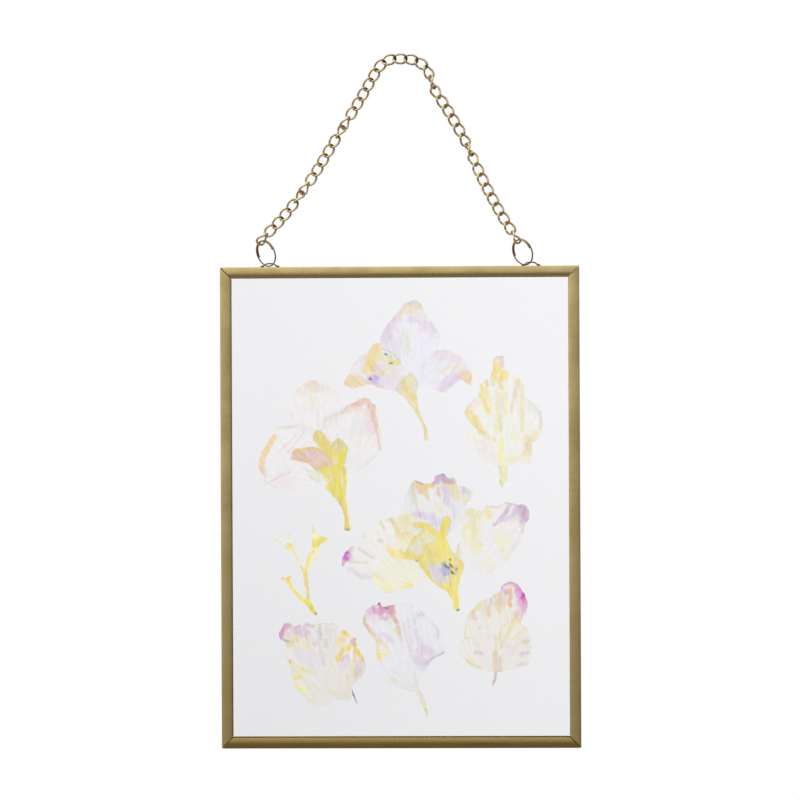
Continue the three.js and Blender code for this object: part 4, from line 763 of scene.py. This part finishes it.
petal_lower_right = join_sheets("pressed_petal_lower_right", (40, -50), [
    pressed_sheet([
        1.4, 15.1, 2.4, 17.1, 4.1, 18.4, 6.1, 18.9, 8.8, 17.4, 10.7, 15.1, 12.4, 12.1, 13, 8.7,
        12, 5.4, 10.4, 2.7, 10, 1.4, 12.3, -0.3, 12.8, -1.4, 14, -4.3, 14.3, -7.6, 14.8, -10.3,
        13.6, -13.3, 13.3, -16, 10, -17, 5.9, -18.2, 1.9, -19.2, 0.2, -19.5, -0.4, -22.2, -2.1, -25.6,
        -2.1, -23.2, -1.7, -19.5, -5.1, -18.5, -8.4, -17.5, -11.4, -15.9, -13.4, -13.5, -15.4, -11.8,
        -16, -8.1, -15, -5.8, -14, -5.2, -13.3, 0.2, -13.3, 2.9, -11.6, 5.5, -9.3, 8.2, -6.3, 10.8,
        -3.3, 11.8, -1.9, 13.1, 0.7, 13.8,
    ], (-0.8, -21), 0, "EDEAE3", [
        ("EAE0C4", 1.6, 0.8, -4.5, 10.3, -7, 8.3, -5, 5.8),
        ("E9DEB0", 1, 0.8, -7.5, 9, -10, 6.3, -11.2, 4.3), ("E6CFB0", 0.8, 0.8, -10, 5.8, -9.6, 3.8),
        ("DECBD3", 0.8, 0.8, -8.7, 3.3), ("E6D6D4", 1.1, 0.8, -2, 10.3, -4, 7.8),
        ("C5B2BD", 0.5, 0.7, -2.6, 12.4, -2.2, 11.2), ("E7D29E", 0.6, 0.9, -3.4, 7.3, -3.1, 4.3),
        ("E0D8A0", 0.5, 0.8, -1, 13.1, -0.8, 12.2),
        ("EBDAAE", 1.4, 0.9, 1, 13.3, 1.5, 11.3, 0.5, 8.8, 1.5, 6.8),
        ("ECD4B4", 1.1, 0.8, 3, 11.8, 3, 9.3), ("E2CBD0", 0.9, 0.8, 2, 9.8, 1, 10.3),
        ("E4DAE1", 1, 0.7, 4, -7.7, 7, -9.2, 6, -11.7), ("E6D3B8", 0.8, 0.8, 11, -6.5, 14, -6),
        ("DFD4DE", 0.8, 0.9, -8.5, -10.7, -6, -11.5), ("DED2DE", 0.8, 0.9, 10, -11.7, 13, -11),
        ("E1D4DB", 0.7, 0.6, -1.5, -3.7, -0.5, -5.2), ("D6CFD5", 0.4, 0.6, 8, -16.2, 12.5, -15.4),
        ("E2DCAA", 0.4, 0.9, -13, 0.8, -13.5, -2.2, -14, -5.2),
        ("DFDDB4", 0.4, 0.7, -13, -4.6, -11, -4.7, -9.5, -4.9), ("DED2B0", 0.7, 0.7, -7, -0.2),
        ("E1D8B8", 0.6, 0.7, -9.5, -7.2), ("E6D8B8", 1.1, 0.7, 8, 5.8, 7.5, 2.8),
        ("E1C0CB", 1.2, 0.7, 10, 6.8, 9.5, 4.3), ("DDB4D5", 1, 0.9, 3, 15.3, 4, 13.8),
        ("DEA8CE", 1.4, 0.95, 4, 18, 6, 18.8, 7.5, 17.8), ("EEBBB8", 0.8, 0.8, 8.4, 15.3, 8.8, 12.3),
        ("D8A8A8", 0.7, 0.8, 7.6, 17.3, 8.9, 17.5), ("E3A4D3", 1.4, 0.9, 9, 16.3, 10.5, 9.8, 12, 8.3),
        ("DE80C9", 1.3, 1, 10.3, 15.3, 11.2, 13.3, 12, 11.3), ("DEB0CA", 1, 0.8, 11, 7.3, 12, 5.8),
        ("D99CB6", 0.6, 0.8, 12.6, 10.3, 12.6, 8.3), ("CC60B0", 0.5, 0.9, 10.6, 12, 11.2, 13.8),
        ("A85090", 0.3, 0.8, 11.5, 13.8, 12.3, 12), ("CA8CAD", 0.4, 0.7, 7.8, 15.2),
        ("A07078", 0.3, 0.8, 8.5, 17.3, 9.2, 17.1), ("B298A1", 0.5, 0.8, 2.2, 16.3, 3.2, 17.3),
        ("EFDCB2", 0.7, 0.8, 6, 16.3), ("EAC8A0", 0.75, 0.95, 5.6, 15, 5.6, 12.3, 5.2, 9.8, 6.2, 8.8),
        ("F3E3A9", 0.7, 0.95, 8, 2.3, 10.2, 1.6), ("E3D1A3", 0.5, 0.8, 9, 3, 10.4, 2.1),
        ("EDE4B0", 0.5, 0.9, 13, -0.5, 11, -1.2, 9, -3.2, 7, -5.2),
        ("D8C998", 0.45, 0.7, 12, 0.2, 13, -0.9), ("E6DDA8", 0.4, 0.7, 4.5, 5.8, 4.6, 2.8, 5.5, -1.2),
        ("EDE3B0", 0.65, 0.95, 7, 2.3, 6.5, -0.2, 4.8, -3.2, 3, -6.2, 1.5, -9.2),
        ("E9E3B4", 0.6, 0.9, 3.3, 0.8, 1.8, -1.2, 0.6, -4.2, -0.3, -7.2, -0.8, -11.2),
        ("DED0D6", 0.6, 0.6, 1.5, -6.2, 2, -8.7),
        ("E6D2B4", 0.95, 0.95, -0.8, -11.2, -0.6, -15.2, -0.5, -18.7),
        ("DCCBC0", 0.8, 0.7, 1, -13.2, 1.4, -17.7), ("EFE8B8", 0.7, 0.8, -11.5, -13.7, -9, -14.7),
        ("E4DBA9", 0.5, 0.95, -12.5, -14, -10, -16, -6.5, -17.4),
        ("CFBCC1", 0.6, 0.95, -0.5, -19.7, -0.8, -22.2, -1.5, -24.2),
    ], 81),
], petal_tissue, 10)
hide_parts("petal_lower_right")
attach(petal_lower_right, "frame")


# Rails: four lengths of brass strip rolled into a channel with a low domed front, cut at 45
# degrees, closed round the glass and soldered at the corners on the inside.

FRAME_WIDTH = 150
FRAME_HEIGHT = 201
FRAME_TOP = -84.3
RAIL_FACE = 4.5
RAIL_FRONT = -3.1
RAIL_DOME = 0.5
RAIL_BACK = 3.5
LIP_ROUND = 0.16
BACK_ROUND = 0.5
OUTER_WALL = 0.8
CHANNEL_HALF = 2.75
MITRE_SET_BACK = 0.05
MITRE_ROUND = 0.34
CORNER_ROUND = 0.55
DOME_STEPS = 28
RAIL_STEPS = 12
# Distances from a mitre, and how far the section is drawn in there.
MITRE_STATIONS = ((0, MITRE_ROUND), (0.08, MITRE_ROUND * 0.4), (MITRE_ROUND, 0), (0.5, 0), (1, 0))
DRAW_LINE_WIDTH = 0.35
DRAW_LINE_LENGTH = 60
PATINA_SIZE = 17
PIT_SIZE = 0.5


def arc(centre, radii, start, end, steps):
    """Points on a quarter or half ellipse, from one angle to another in degrees."""
    angles = [math.radians(start + (end - start) * i / steps) for i in range(steps + 1)]
    return [(centre[0] + radii[0] * math.cos(a), centre[1] + radii[1] * math.sin(a)) for a in angles]


def rail_section():
    """The channel's section, x inwards from the outer edge and y from front to back."""
    half = RAIL_FACE / 2
    lip, heel = LIP_ROUND, BACK_ROUND
    return (
        arc((half, RAIL_FRONT), (half, RAIL_DOME), 180, 360, DOME_STEPS)
        + arc((RAIL_FACE - lip, -CHANNEL_HALF - lip), (lip, lip), 0, 90, 3)
        + [(OUTER_WALL, -CHANNEL_HALF), (OUTER_WALL, CHANNEL_HALF)]
        + [(RAIL_FACE - lip, CHANNEL_HALF), (RAIL_FACE, CHANNEL_HALF + lip)]
        + arc((RAIL_FACE - heel, RAIL_BACK - heel), (heel, heel), 0, 90, 5)
        + arc((heel, RAIL_BACK - heel), (heel, heel), 90, 180, 5)
    )


def skin_faces(rows, around):
    """The faces of a closed skin over rows of points, with a flat face at each end."""
    faces = [(r * around + i, r * around + (i + 1) % around, (r + 1) * around + (i + 1) % around,
              (r + 1) * around + i) for r in range(rows - 1) for i in range(around)]
    return faces + [list(range(around))[::-1], list(range((rows - 1) * around, rows * around))]


def build_piece(name, points, faces, lies, material, sharp_angle=40):
    """A mesh piece from points in millimetres, smooth but for its sharp edges. Its lies say how far
    along and round a drawn part each point is, in millimetres, and how brown it is made, as patina and
    painted shade."""
    mesh = bpy.data.meshes.new(name)
    mesh.from_pydata([tuple(c * MM for c in point) for point in points], [], faces)
    mesh.shade_smooth()
    mesh.set_sharp_from_angle(angle=math.radians(sharp_angle))
    mesh.materials.append(material)
    lie = mesh.attributes.new("lie", "FLOAT_VECTOR", "POINT")
    lie.data.foreach_set("vector", np.array(lies, float).ravel())
    piece = bpy.data.objects.new(name, mesh)
    bpy.context.scene.collection.objects.link(piece)
    return piece


def drawn_metal(name, bright, brown, roughness, brown_share, line_depth):
    """Brass strip or wire. The lie attribute is how far along and round a point is, and how brown it
    is made at least: patina, and painted shade on the chain and the bottom rail.
    """
    material = new_material(name)
    lie = add_node(material, "Attribute", attribute_name="lie").outputs["Vector"]
    place = add_node(material, "TexCoord").outputs["Object"]
    stretch = add_node(material, "Mapping", {
        "Vector": lie, "Scale": (1 / DRAW_LINE_LENGTH, 1 / DRAW_LINE_WIDTH, 0)})
    lines = add_node(material, "TexNoise", {
        "Vector": stretch.outputs[0], "Scale": 1, "Detail": 3})
    patina = add_node(material, "TexNoise", {
        "Vector": place, "Scale": per_metre(PATINA_SIZE), "Detail": 4, "Roughness": 0.6})
    pits = add_node(material, "TexNoise", {
        "Vector": place, "Scale": per_metre(PIT_SIZE), "Detail": 2})
    # The lie's third part browns the metal: patina, and painted shade on the chain and the bottom
    # rail.
    patina_and_painted_shade = add_node(material, "SeparateXYZ", {0: lie}).outputs[2]
    tarnish = add_node(material, "MapRange", {
        "Value": patina.outputs[0], "From Min": 0.35, "From Max": 0.7, "To Max": brown_share})
    aged_and_shaded = add_node(material, "Math", {0: tarnish.outputs[0], 1: patina_and_painted_shade, 2: 0.0},
                    operation="MAXIMUM")
    colour = add_node(material, "Mix", {
        "Factor": aged_and_shaded.outputs[0], 6: linear(bright), 7: linear(brown)}, data_type="RGBA")
    dulled = add_node(material, "MapRange", {
        "Value": patina.outputs[0], "From Min": 0.3, "From Max": 0.7,
        "To Min": roughness - 0.05, "To Max": roughness + 0.07})
    scored = add_node(material, "Bump", {
        "Height": lines.outputs[0], "Strength": line_depth, "Distance": 0.02 * MM})
    pitted = add_node(material, "Bump", {
        "Height": pits.outputs[0], "Strength": 0.12, "Distance": 0.03 * MM,
        "Normal": scored.outputs[0]})
    metal = add_node(material, "BsdfPrincipled", {
        "Base Color": colour.outputs[2], "Metallic": 1.0, "Roughness": dulled.outputs[0],
        "Normal": pitted.outputs[0]})
    add_node(material, "OutputMaterial", {"Surface": metal.outputs[0]})
    return material


# Rolled brass is satin, with very fine lines along the strip. Antiquing leaves it olive gold and
# a little uneven, so the light slides over the dome without a hard mirror image.
satin_brass = drawn_metal("rolled brass, antiqued satin", "DCC48A", "9A8048", 0.27, 0.4, 0.25)


def round_corners(x, z):
    """Takes the sharp tip off the frame's outer corners."""
    half = FRAME_WIDTH / 2 - CORNER_ROUND
    tall = FRAME_HEIGHT / 2 - CORNER_ROUND
    middle = FRAME_TOP - FRAME_HEIGHT / 2
    out_x, out_z = abs(x) - half, abs(z - middle) - tall
    if out_x <= 0 or out_z <= 0:
        return x, z
    shrink = min(1, CORNER_ROUND / math.hypot(out_x, out_z))
    return (math.copysign(half + out_x * shrink, x),
            middle + math.copysign(tall + out_z * shrink, z - middle))


def add_rail(name, node, length, start, inward, browned=0.0):
    """One rail from its corner of the frame, running clockwise as the viewer sees it. browned is how
    far it
    is made brown at least: painted shade, for the bottom rail, on which less light falls from above."""
    section = rail_section()
    half_face, half_depth = RAIL_FACE / 2, (RAIL_BACK - RAIL_FRONT) / 2
    centre_y = (RAIL_FRONT + RAIL_BACK) / 2
    along = (-inward[1], inward[0])
    stations = list(MITRE_STATIONS)
    stations += [(length / 2 * i / RAIL_STEPS, 0) for i in range(1, RAIL_STEPS)]
    near = [(0, distance, shrink) for distance, shrink in stations]
    far = [(1, distance, shrink) for distance, shrink in reversed(stations)]
    points, lies = [], []
    for at_far_end, distance, shrink in near + far:
        for px, py in section:
            sx = px + (half_face - px) * shrink / RAIL_FACE
            sy = py + (centre_y - py) * shrink / half_depth
            run = distance + (sx + MITRE_SET_BACK) * (1 - min(1, distance / (length / 2)))
            run = length - run if at_far_end else run
            x = start[0] + inward[0] * sx + along[0] * run
            z = start[1] + inward[1] * sx + along[1] * run
            x, z = round_corners(x, z)
            points.append((x, sy, z))
            # The lie's third part is painted shade: how brown the rail is made at least.
            lies.append((run, sx + py, browned))
    faces = skin_faces(len(near + far), len(section))
    rail = build_piece(name, points, faces, lies, satin_brass)
    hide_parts(node)
    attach(rail, "frame")


SIDE = FRAME_WIDTH / 2
FRAME_BOTTOM = FRAME_TOP - FRAME_HEIGHT
add_rail("brass_rail_top", "top_rail", FRAME_WIDTH, (-SIDE, FRAME_TOP), (0, -1))
add_rail("brass_rail_right", "right_rail", FRAME_HEIGHT, (SIDE, FRAME_TOP), (-1, 0))
# The bottom rail is made browner as painted shade: less light falls on it from above.
add_rail("brass_rail_bottom", "bottom_rail", FRAME_WIDTH, (SIDE, FRAME_BOTTOM), (0, 1), 0.8)
add_rail("brass_rail_left", "left_rail", FRAME_HEIGHT, (-SIDE, FRAME_BOTTOM), (1, 0))


# Eyes: thin brass wire bent into a low arch, its feet laid along the top rail and held by a
# bead of soft solder each.

EYE_WIRE = 0.6
EYE_HALF_WIDTH = 2.6
EYE_FOOT_REACH = 3.7
EYE_RISE = 1.23
EYE_FOOT_Z = FRAME_TOP + 0.42
EYE_X = {"left_eye": -54.2, "right_eye": 55}
EYE_ARCH = ((-1, 0.3), (-0.6, 0.85), (0, 1), (0.6, 0.85), (1, 0.3))
WIRE_SIDES = 12
SOLDER_REACH = 3.22
SOLDER_LIFT = 0.05
SOLDER_HALF = (0.95, 0.75, 0.35)
SOLDER_LUMPS = 0.04
SOLDER_BROWN = 0.5


def through(points, steps):
    """A smooth open line through the points, with as many steps in each span."""
    points = [Vector(p) for p in points]
    points = [2 * points[0] - points[1]] + points + [2 * points[-1] - points[-2]]
    line = []
    for a, b, c, d in zip(points, points[1:], points[2:], points[3:]):
        k0, k1, k2 = ((q - p).length ** 0.5 for p, q in ((a, b), (b, c), (c, d)))
        leave = ((b - a) / k0 - (c - a) / (k0 + k1) + (c - b) / k1) * k1
        arrive = ((c - b) / k1 - (d - b) / (k1 + k2) + (d - c) / k2) * k1
        for i in range(steps):
            t = i / steps
            line.append(b + leave * t + (3 * (c - b) - 2 * leave - arrive) * t ** 2
                        + (2 * (b - c) + leave + arrive) * t ** 3)
    return line + [points[-2]]


def wire(line, radius, sides, end_round=0.5):
    """A round wire along a line, with softened ends: its points, faces and lies."""
    line = [Vector(p) for p in line]
    ahead = [(q - p).normalized() for p, q in zip(line, line[1:])]
    ahead = [ahead[0]] + [(p + q).normalized() for p, q in zip(ahead, ahead[1:])] + [ahead[-1]]
    side = ahead[0].orthogonal().normalized()
    soft, run = radius * end_round, 0.0
    stations = [(line[0], ahead[0], side, radius - soft, 0.0)]
    for i, (point, forward) in enumerate(zip(line, ahead)):
        side = (side - forward * side.dot(forward)).normalized()
        run += (point - line[i - 1]).length if i else 0
        shift = soft if i == 0 else (-soft if i == len(line) - 1 else 0)
        stations.append((point + forward * shift, forward, side, radius, run))
    stations.append((line[-1], ahead[-1], side, radius - soft, run))
    points, lies = [], []
    for point, forward, side, size, run in stations:
        up = forward.cross(side)
        for j in range(sides):
            turn = 2 * math.pi * j / sides
            points.append(tuple(point + (side * math.cos(turn) + up * math.sin(turn)) * size))
            lies.append((run, radius * turn, 0.0))
    return points, skin_faces(len(stations), sides), lies


def gather(parts):
    """Several sets of points, faces and lies as one."""
    points, faces, lies = [], [], []
    for part_points, part_faces, part_lies in parts:
        faces += [[corner + len(points) for corner in face] for face in part_faces]
        points += part_points
        lies += part_lies
    return points, faces, lies


def bead(centre, half, rings=8, sides=16):
    """A drop of solder, slightly uneven."""
    points, lies = [], []
    for r in range(rings + 1):
        polar = math.pi * (r + 0.02) / (rings + 0.04)
        for j in range(sides):
            turn = 2 * math.pi * j / sides
            lump = 1 - SOLDER_LUMPS * (1 + math.sin(3 * turn + centre[0])) * math.sin(polar)
            points.append((centre[0] + half[0] * lump * math.sin(polar) * math.cos(turn),
                           centre[1] + half[1] * lump * math.sin(polar) * math.sin(turn),
                           centre[2] + half[2] * lump * math.cos(polar)))
            lies.append((0.0, 0.0, SOLDER_BROWN))
    return points, [face[::-1] for face in skin_faces(rings + 1, sides)], lies


# The eyes' wire went through the same bath as the rails, and its thin round section keeps more
# of the brown.
eye_brass = drawn_metal("brass wire, antiqued brown", "A38B68", "6F5B3E", 0.34, 0.8, 0.2)
for node, eye_x in EYE_X.items():
    arch = [(x * EYE_HALF_WIDTH, z * EYE_RISE) for x, z in EYE_ARCH]
    arch = [(-EYE_FOOT_REACH, 0), *arch, (EYE_FOOT_REACH, 0)]
    line = through([(eye_x + x, 0, EYE_FOOT_Z + z) for x, z in arch], 8)
    parts = [wire(line, EYE_WIRE / 2, WIRE_SIDES)]
    parts += [bead((eye_x + side * SOLDER_REACH, 0, EYE_FOOT_Z + SOLDER_LIFT), SOLDER_HALF)
              for side in (-1, 1)]
    eye = build_piece(f"wire_{node}", *gather(parts), eye_brass)
    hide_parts(node)
    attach(eye, "frame")


# Split rings: one and a half turns of brass wire wound side by side, so that the eye and the
# chain's end link can be threaded in between the turns.

RING_WIRE = 0.6
RING_RADIUS = 5.5
RING_TURNS = 1.5
RING_PITCH = 0.7
RING_LEAN = math.radians(24)
RING_FOOT_Z = -83.45
RING_STEPS = 110
# Where each ring's wire passes under its eye, and how far it is turned towards the viewer.
RING_FEET = (("left_ring", -53.6, -48), ("right_ring", 53.8, -50))

# Ring wire is a darker, redder brass than the rails, tumbled bright on its outside.
ring_brass = drawn_metal("brass ring wire, tumbled", "C4A078", "4A3826", 0.3, 0.9, 0.2)
ring_tops = {}
for node, foot_x, turn in RING_FEET:
    up = Vector((-math.sin(RING_LEAN), 0, math.cos(RING_LEAN))) * RING_RADIUS
    centre = Vector((foot_x, 0, RING_FOOT_Z)) + up
    pose = Matrix.Rotation(-RING_LEAN, 3, "Y") @ Matrix.Rotation(math.radians(turn), 3, "Z")
    line = []
    for i in range(RING_STEPS + 1):
        share = (i / RING_STEPS - 0.5) * RING_TURNS
        angle = share * 2 * math.pi
        line.append(centre + pose @ Vector((
            RING_RADIUS * math.sin(angle), share * RING_PITCH, -RING_RADIUS * math.cos(angle))))
    ring = build_piece(f"split_{node}", *wire(line, RING_WIRE / 2, WIRE_SIDES), ring_brass)
    ring_tops[node] = centre + up
    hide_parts(node)
    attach(ring, "rings")


# Chain: 42 oval links of brass wire, each cut, closed on its long side and twisted like a curb
# chain's, so that they lie flat in one another. It runs from ring to ring over the peg.

LINK_COUNT = 42
LINK_WIRE = 0.92
LINK_LENGTH = 6.5
LINK_WIDTH = 4.8
LINK_TWIST = 0.8
LINK_STEPS = 40
LINK_SEAM = 0.012
END_LINK_REACH = 1.5
ROUTE_STEPS = 60
TURNED_LINKS = (0.5, 6.5, 13.5, 26, 33, 42.3)
TURN_REACH = 2
ROUTE = [(-47.3, -61.6), (-36.5, -46.9), (-25.8, -29.6), (-16.8, -15.2), (-10.6, -4.6),
         (-7.8, -0.2), (-4, 2.3), (0.6, 2.75), (5.4, 2.4), (9.3, 0.8), (12, -2), (13.6, -6),
         (15.2, -10.4), (20.4, -18.6), (27.4, -31.1), (35.2, -48.3), (42.2, -61.7)]

# How brown a link is: a little all over and more towards its inside, as patina; more on its side up
# and to the right, away from the light, and where it bends round the next link, as painted shade.
BROWN_ALL_OVER = 0.1
BROWN_INSIDE = 0.7
SHADE_ON_SHADED_SIDE = 1.1
SHADED_SIDE = Vector((0.9, 0, 0.35))
OVERLAP_SHADE_START = 0.26
OVERLAP_SHADE = 2


def end_link_centre(ring_top, direction, forward):
    """The middle of a link whose end hangs in the top of a ring, from the way that it points."""
    angle = math.radians(direction)
    return ring_top + Vector((END_LINK_REACH * math.cos(angle), forward,
                              END_LINK_REACH * math.sin(angle)))


def chain_turn(number):
    """How far a link is rolled about the chain, in radians."""
    total = 0.0
    for middle in TURNED_LINKS:
        share = min(1, max(0, (number - middle + TURN_REACH) / (2 * TURN_REACH)))
        total -= math.pi * share * share * (3 - 2 * share)
    return total


route = through([end_link_centre(ring_tops["left_ring"], 52, -0.5)]
                + [(x, 0, z) for x, z in ROUTE]
                + [end_link_centre(ring_tops["right_ring"], 120, 0)], ROUTE_STEPS)
reached = [0.0]
for p, q in zip(route, route[1:]):
    reached.append(reached[-1] + (q - p).length)
parts = []
for number in range(1, LINK_COUNT + 1):
    target = reached[-1] * (number - 1) / (LINK_COUNT - 1)
    i = min(max(next(k for k, r in enumerate(reached) if r >= target - 1e-9), 1), len(route) - 1)
    share = (target - reached[i - 1]) / (reached[i] - reached[i - 1])
    centre = route[i - 1].lerp(route[i], share)
    along = (route[min(i + 1, len(route) - 1)] - route[max(i - 2, 0)]).normalized()
    flat = Vector((0, -1, 0))
    across = flat.cross(along)
    basis = Matrix((along, across, flat)).transposed() @ Matrix.Rotation(chain_turn(number), 3, "X")
    loop = []
    for step in range(LINK_STEPS + 1):
        angle = 2 * math.pi * (0.25 + LINK_SEAM / 2 + (1 - LINK_SEAM) * step / LINK_STEPS)
        loop.append(centre + basis @ Vector((
            (LINK_LENGTH - LINK_WIRE) / 2 * math.cos(angle),
            (LINK_WIDTH - LINK_WIRE) / 2 * math.sin(angle),
            LINK_TWIST * math.sin(2 * angle))))
    points, faces, lies = wire(loop, LINK_WIRE / 2, WIRE_SIDES, 0.25)
    for k, point in enumerate(points):
        offset = Vector(point) - centre
        middle = loop[min(max(k // WIRE_SIDES - 1, 0), LINK_STEPS)]
        inside = ((middle - centre).length - offset.length) / LINK_WIRE
        # Painted shade: browner on the side of the link away from the light.
        shaded_share = offset.dot(SHADED_SIDE) / LINK_WIDTH
        # Painted shade: browner towards the ends, where the link lies in the next one.
        shade_at_overlap = max(0, abs(offset.dot(along)) / LINK_LENGTH - OVERLAP_SHADE_START)
        brown = (BROWN_ALL_OVER + BROWN_INSIDE * inside + SHADE_ON_SHADED_SIDE * shaded_share
                 + OVERLAP_SHADE * shade_at_overlap)
        lies[k] = (lies[k][0], lies[k][1], max(0.0, min(1.0, brown)))
    parts.append((points, faces, lies))

# Chain brass is polished by handling on the outside of each link, and the antiquing stays brown on
# the inside; its side away from the light and its bends round the next link are painted shade.
chain_brass = drawn_metal("brass curb chain, browned", "FFE4B4", "74532C", 0.3, 0.3, 0.15)
chain = build_piece("curb_chain", *gather(parts), chain_brass)
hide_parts(*[f"chain_link_{n:02d}" for n in range(1, LINK_COUNT + 1)])
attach(chain, "chain")


# Studio: a pale matt floor well below the hanging frame, white all round, and one large soft
# lamp above on the viewer's left. The camera is level with the middle of the picture.

FLOOR_Z = -0.62
FLOOR_RADIUS = 1.5
FLOOR_SIDES = 96
BOARD_MOTTLE_SIZE = 180
PICTURE_WIDTH = 334.7
PICTURE_MIDDLE = (0.0, -140.0)
LENS = 120
SENSOR = 36
CAMERA_YAW = math.radians(1.15)
CAMERA_ROLL = math.radians(0.26)

rim = []
for i in range(FLOOR_SIDES):
    angle = 2 * math.pi * i / FLOOR_SIDES
    rim.append((FLOOR_RADIUS * math.cos(angle), FLOOR_RADIUS * math.sin(angle), FLOOR_Z))
floor_mesh = bpy.data.meshes.new("studio_floor")
floor_mesh.from_pydata(rim, [], [list(range(FLOOR_SIDES))])
# Matt white board, with a faint mottle so that it isn't dead flat. Mirrored in the brass it is
# dim, as under a product that is cut out on white, and through the glass it is as white as the wall.
matt_board = new_material("matt white board")
board_place = add_node(matt_board, "TexCoord").outputs["Object"]
board_mottle = add_node(matt_board, "TexNoise", {
    "Vector": board_place, "Scale": per_metre(BOARD_MOTTLE_SIZE)})
board_colour = add_node(matt_board, "Mix", {
    "Factor": board_mottle.outputs[0], 6: linear("F1F1F0"), 7: linear("F6F6F5")}, data_type="RGBA")
board_path = add_node(matt_board, "LightPath")
board_mirrored = add_node(matt_board, "Math", {
    0: board_path.outputs["Glossy Depth"], 1: 0.5}, operation="GREATER_THAN")
board_through = add_node(matt_board, "Mix", {
    "Factor": board_path.outputs["Is Transmission Ray"],
    6: board_colour.outputs[2], 7: linear("DCDCDC")}, data_type="RGBA")
board_tone = add_node(matt_board, "Mix", {
    "Factor": board_mirrored.outputs[0], 6: board_through.outputs[2], 7: linear("8A8072")},
    data_type="RGBA")
board = add_node(matt_board, "BsdfPrincipled", {
    "Base Color": board_tone.outputs[2], "Roughness": 0.9, "Specular IOR Level": 0.2})
add_node(matt_board, "OutputMaterial", {"Surface": board.outputs[0]})
floor_mesh.materials.append(matt_board)
floor = bpy.data.objects.new("studio_floor", floor_mesh)
bpy.context.scene.collection.objects.link(floor)

# White to the eye and through the glass. To everything that is lit or mirrored the room is
# brightest overhead, and dim on the viewer's side.
room = bpy.data.worlds.new("white studio")
room.use_nodes = True
room.node_tree.nodes.clear()
look = add_node(room, "TexCoord").outputs["Generated"]
direction = add_node(room, "SeparateXYZ", {0: look})
rise = add_node(room, "MapRange", {
    "Value": direction.outputs[2], "From Min": -0.2, "From Max": 0.08, "To Min": 0.07, "To Max": 0.74},
    interpolation_type="SMOOTHSTEP")
crown = add_node(room, "MapRange", {
    "Value": direction.outputs[2], "From Min": 0.1, "From Max": 0.8, "To Max": 0.26})
slant = add_node(room, "MapRange", {
    "Value": direction.outputs[0], "From Min": -1.0, "From Max": 1.0, "To Min": 1.55, "To Max": 0.5})
glow = add_node(room, "Math", {0: rise.outputs[0], 1: crown.outputs[0]})
glow = add_node(room, "Math", {0: glow.outputs[0], 1: slant.outputs[0]}, operation="MULTIPLY")
behind = add_node(room, "MapRange", {
    "Value": direction.outputs[1], "From Min": -0.1, "From Max": 0.4, "To Min": 1.0, "To Max": 0.65})
glow = add_node(room, "Math", {0: glow.outputs[0], 1: behind.outputs[0]}, operation="MULTIPLY")
path = add_node(room, "LightPath")
board_light = add_node(room, "MapRange", {
    "Value": direction.outputs[0], "From Min": -0.07, "From Max": 0.035,
    "To Min": 0.965, "To Max": 1.03})
seen = add_node(room, "Mix", {
    "Factor": path.outputs["Is Transmission Ray"], 2: 1.0, 3: board_light.outputs[0]})
mirrored = add_node(room, "Math", {0: path.outputs["Glossy Depth"], 1: 0.5}, operation="GREATER_THAN")
plain = add_node(room, "Mix", {
    "Factor": path.outputs["Is Diffuse Ray"], 2: seen.outputs[0], 3: 1.2})
strength = add_node(room, "Mix", {
    "Factor": mirrored.outputs[0], 2: plain.outputs[0], 3: glow.outputs[0]})
backdrop = add_node(room, "Background", {
    "Color": (1.0, 1.0, 1.0, 1.0), "Strength": strength.outputs[0]})
add_node(room, "OutputWorld", {"Surface": backdrop.outputs[0]})
bpy.context.scene.world = room

LAMP_SIZE = (2.0, 1.4)
LAMP_WATTS = 12
LAMP_AT = (-0.55, -0.95, 0.95)
LAMP_AIM = (0, 0, -0.17)
lamp_data = bpy.data.lights.new("soft box", "AREA")
lamp_data.shape = "RECTANGLE"
lamp_data.size, lamp_data.size_y = LAMP_SIZE
lamp_data.energy = LAMP_WATTS
lamp = bpy.data.objects.new("soft box", lamp_data)
lamp.visible_glossy = False
lamp.location = LAMP_AT
lamp.rotation_euler = (Vector(LAMP_AIM) - lamp.location).to_track_quat("-Z", "Y").to_euler()
bpy.context.scene.collection.objects.link(lamp)

bpy.context.scene.view_settings.view_transform = "Standard"

camera_data = bpy.data.cameras.new("camera")
camera_data.sensor_width = SENSOR
camera_data.lens = LENS
camera = bpy.data.objects.new("camera", camera_data)
distance = PICTURE_WIDTH * LENS / SENSOR * MM
target = Vector((PICTURE_MIDDLE[0] * MM, 0, PICTURE_MIDDLE[1] * MM))
camera.location = target + Vector((math.sin(CAMERA_YAW), -math.cos(CAMERA_YAW), 0)) * distance
facing = (target - camera.location).to_track_quat("-Z", "Y").to_matrix()
camera.rotation_euler = (facing @ Matrix.Rotation(-CAMERA_ROLL, 3, "Z")).to_euler()
bpy.context.scene.collection.objects.link(camera)
bpy.context.scene.camera = camera
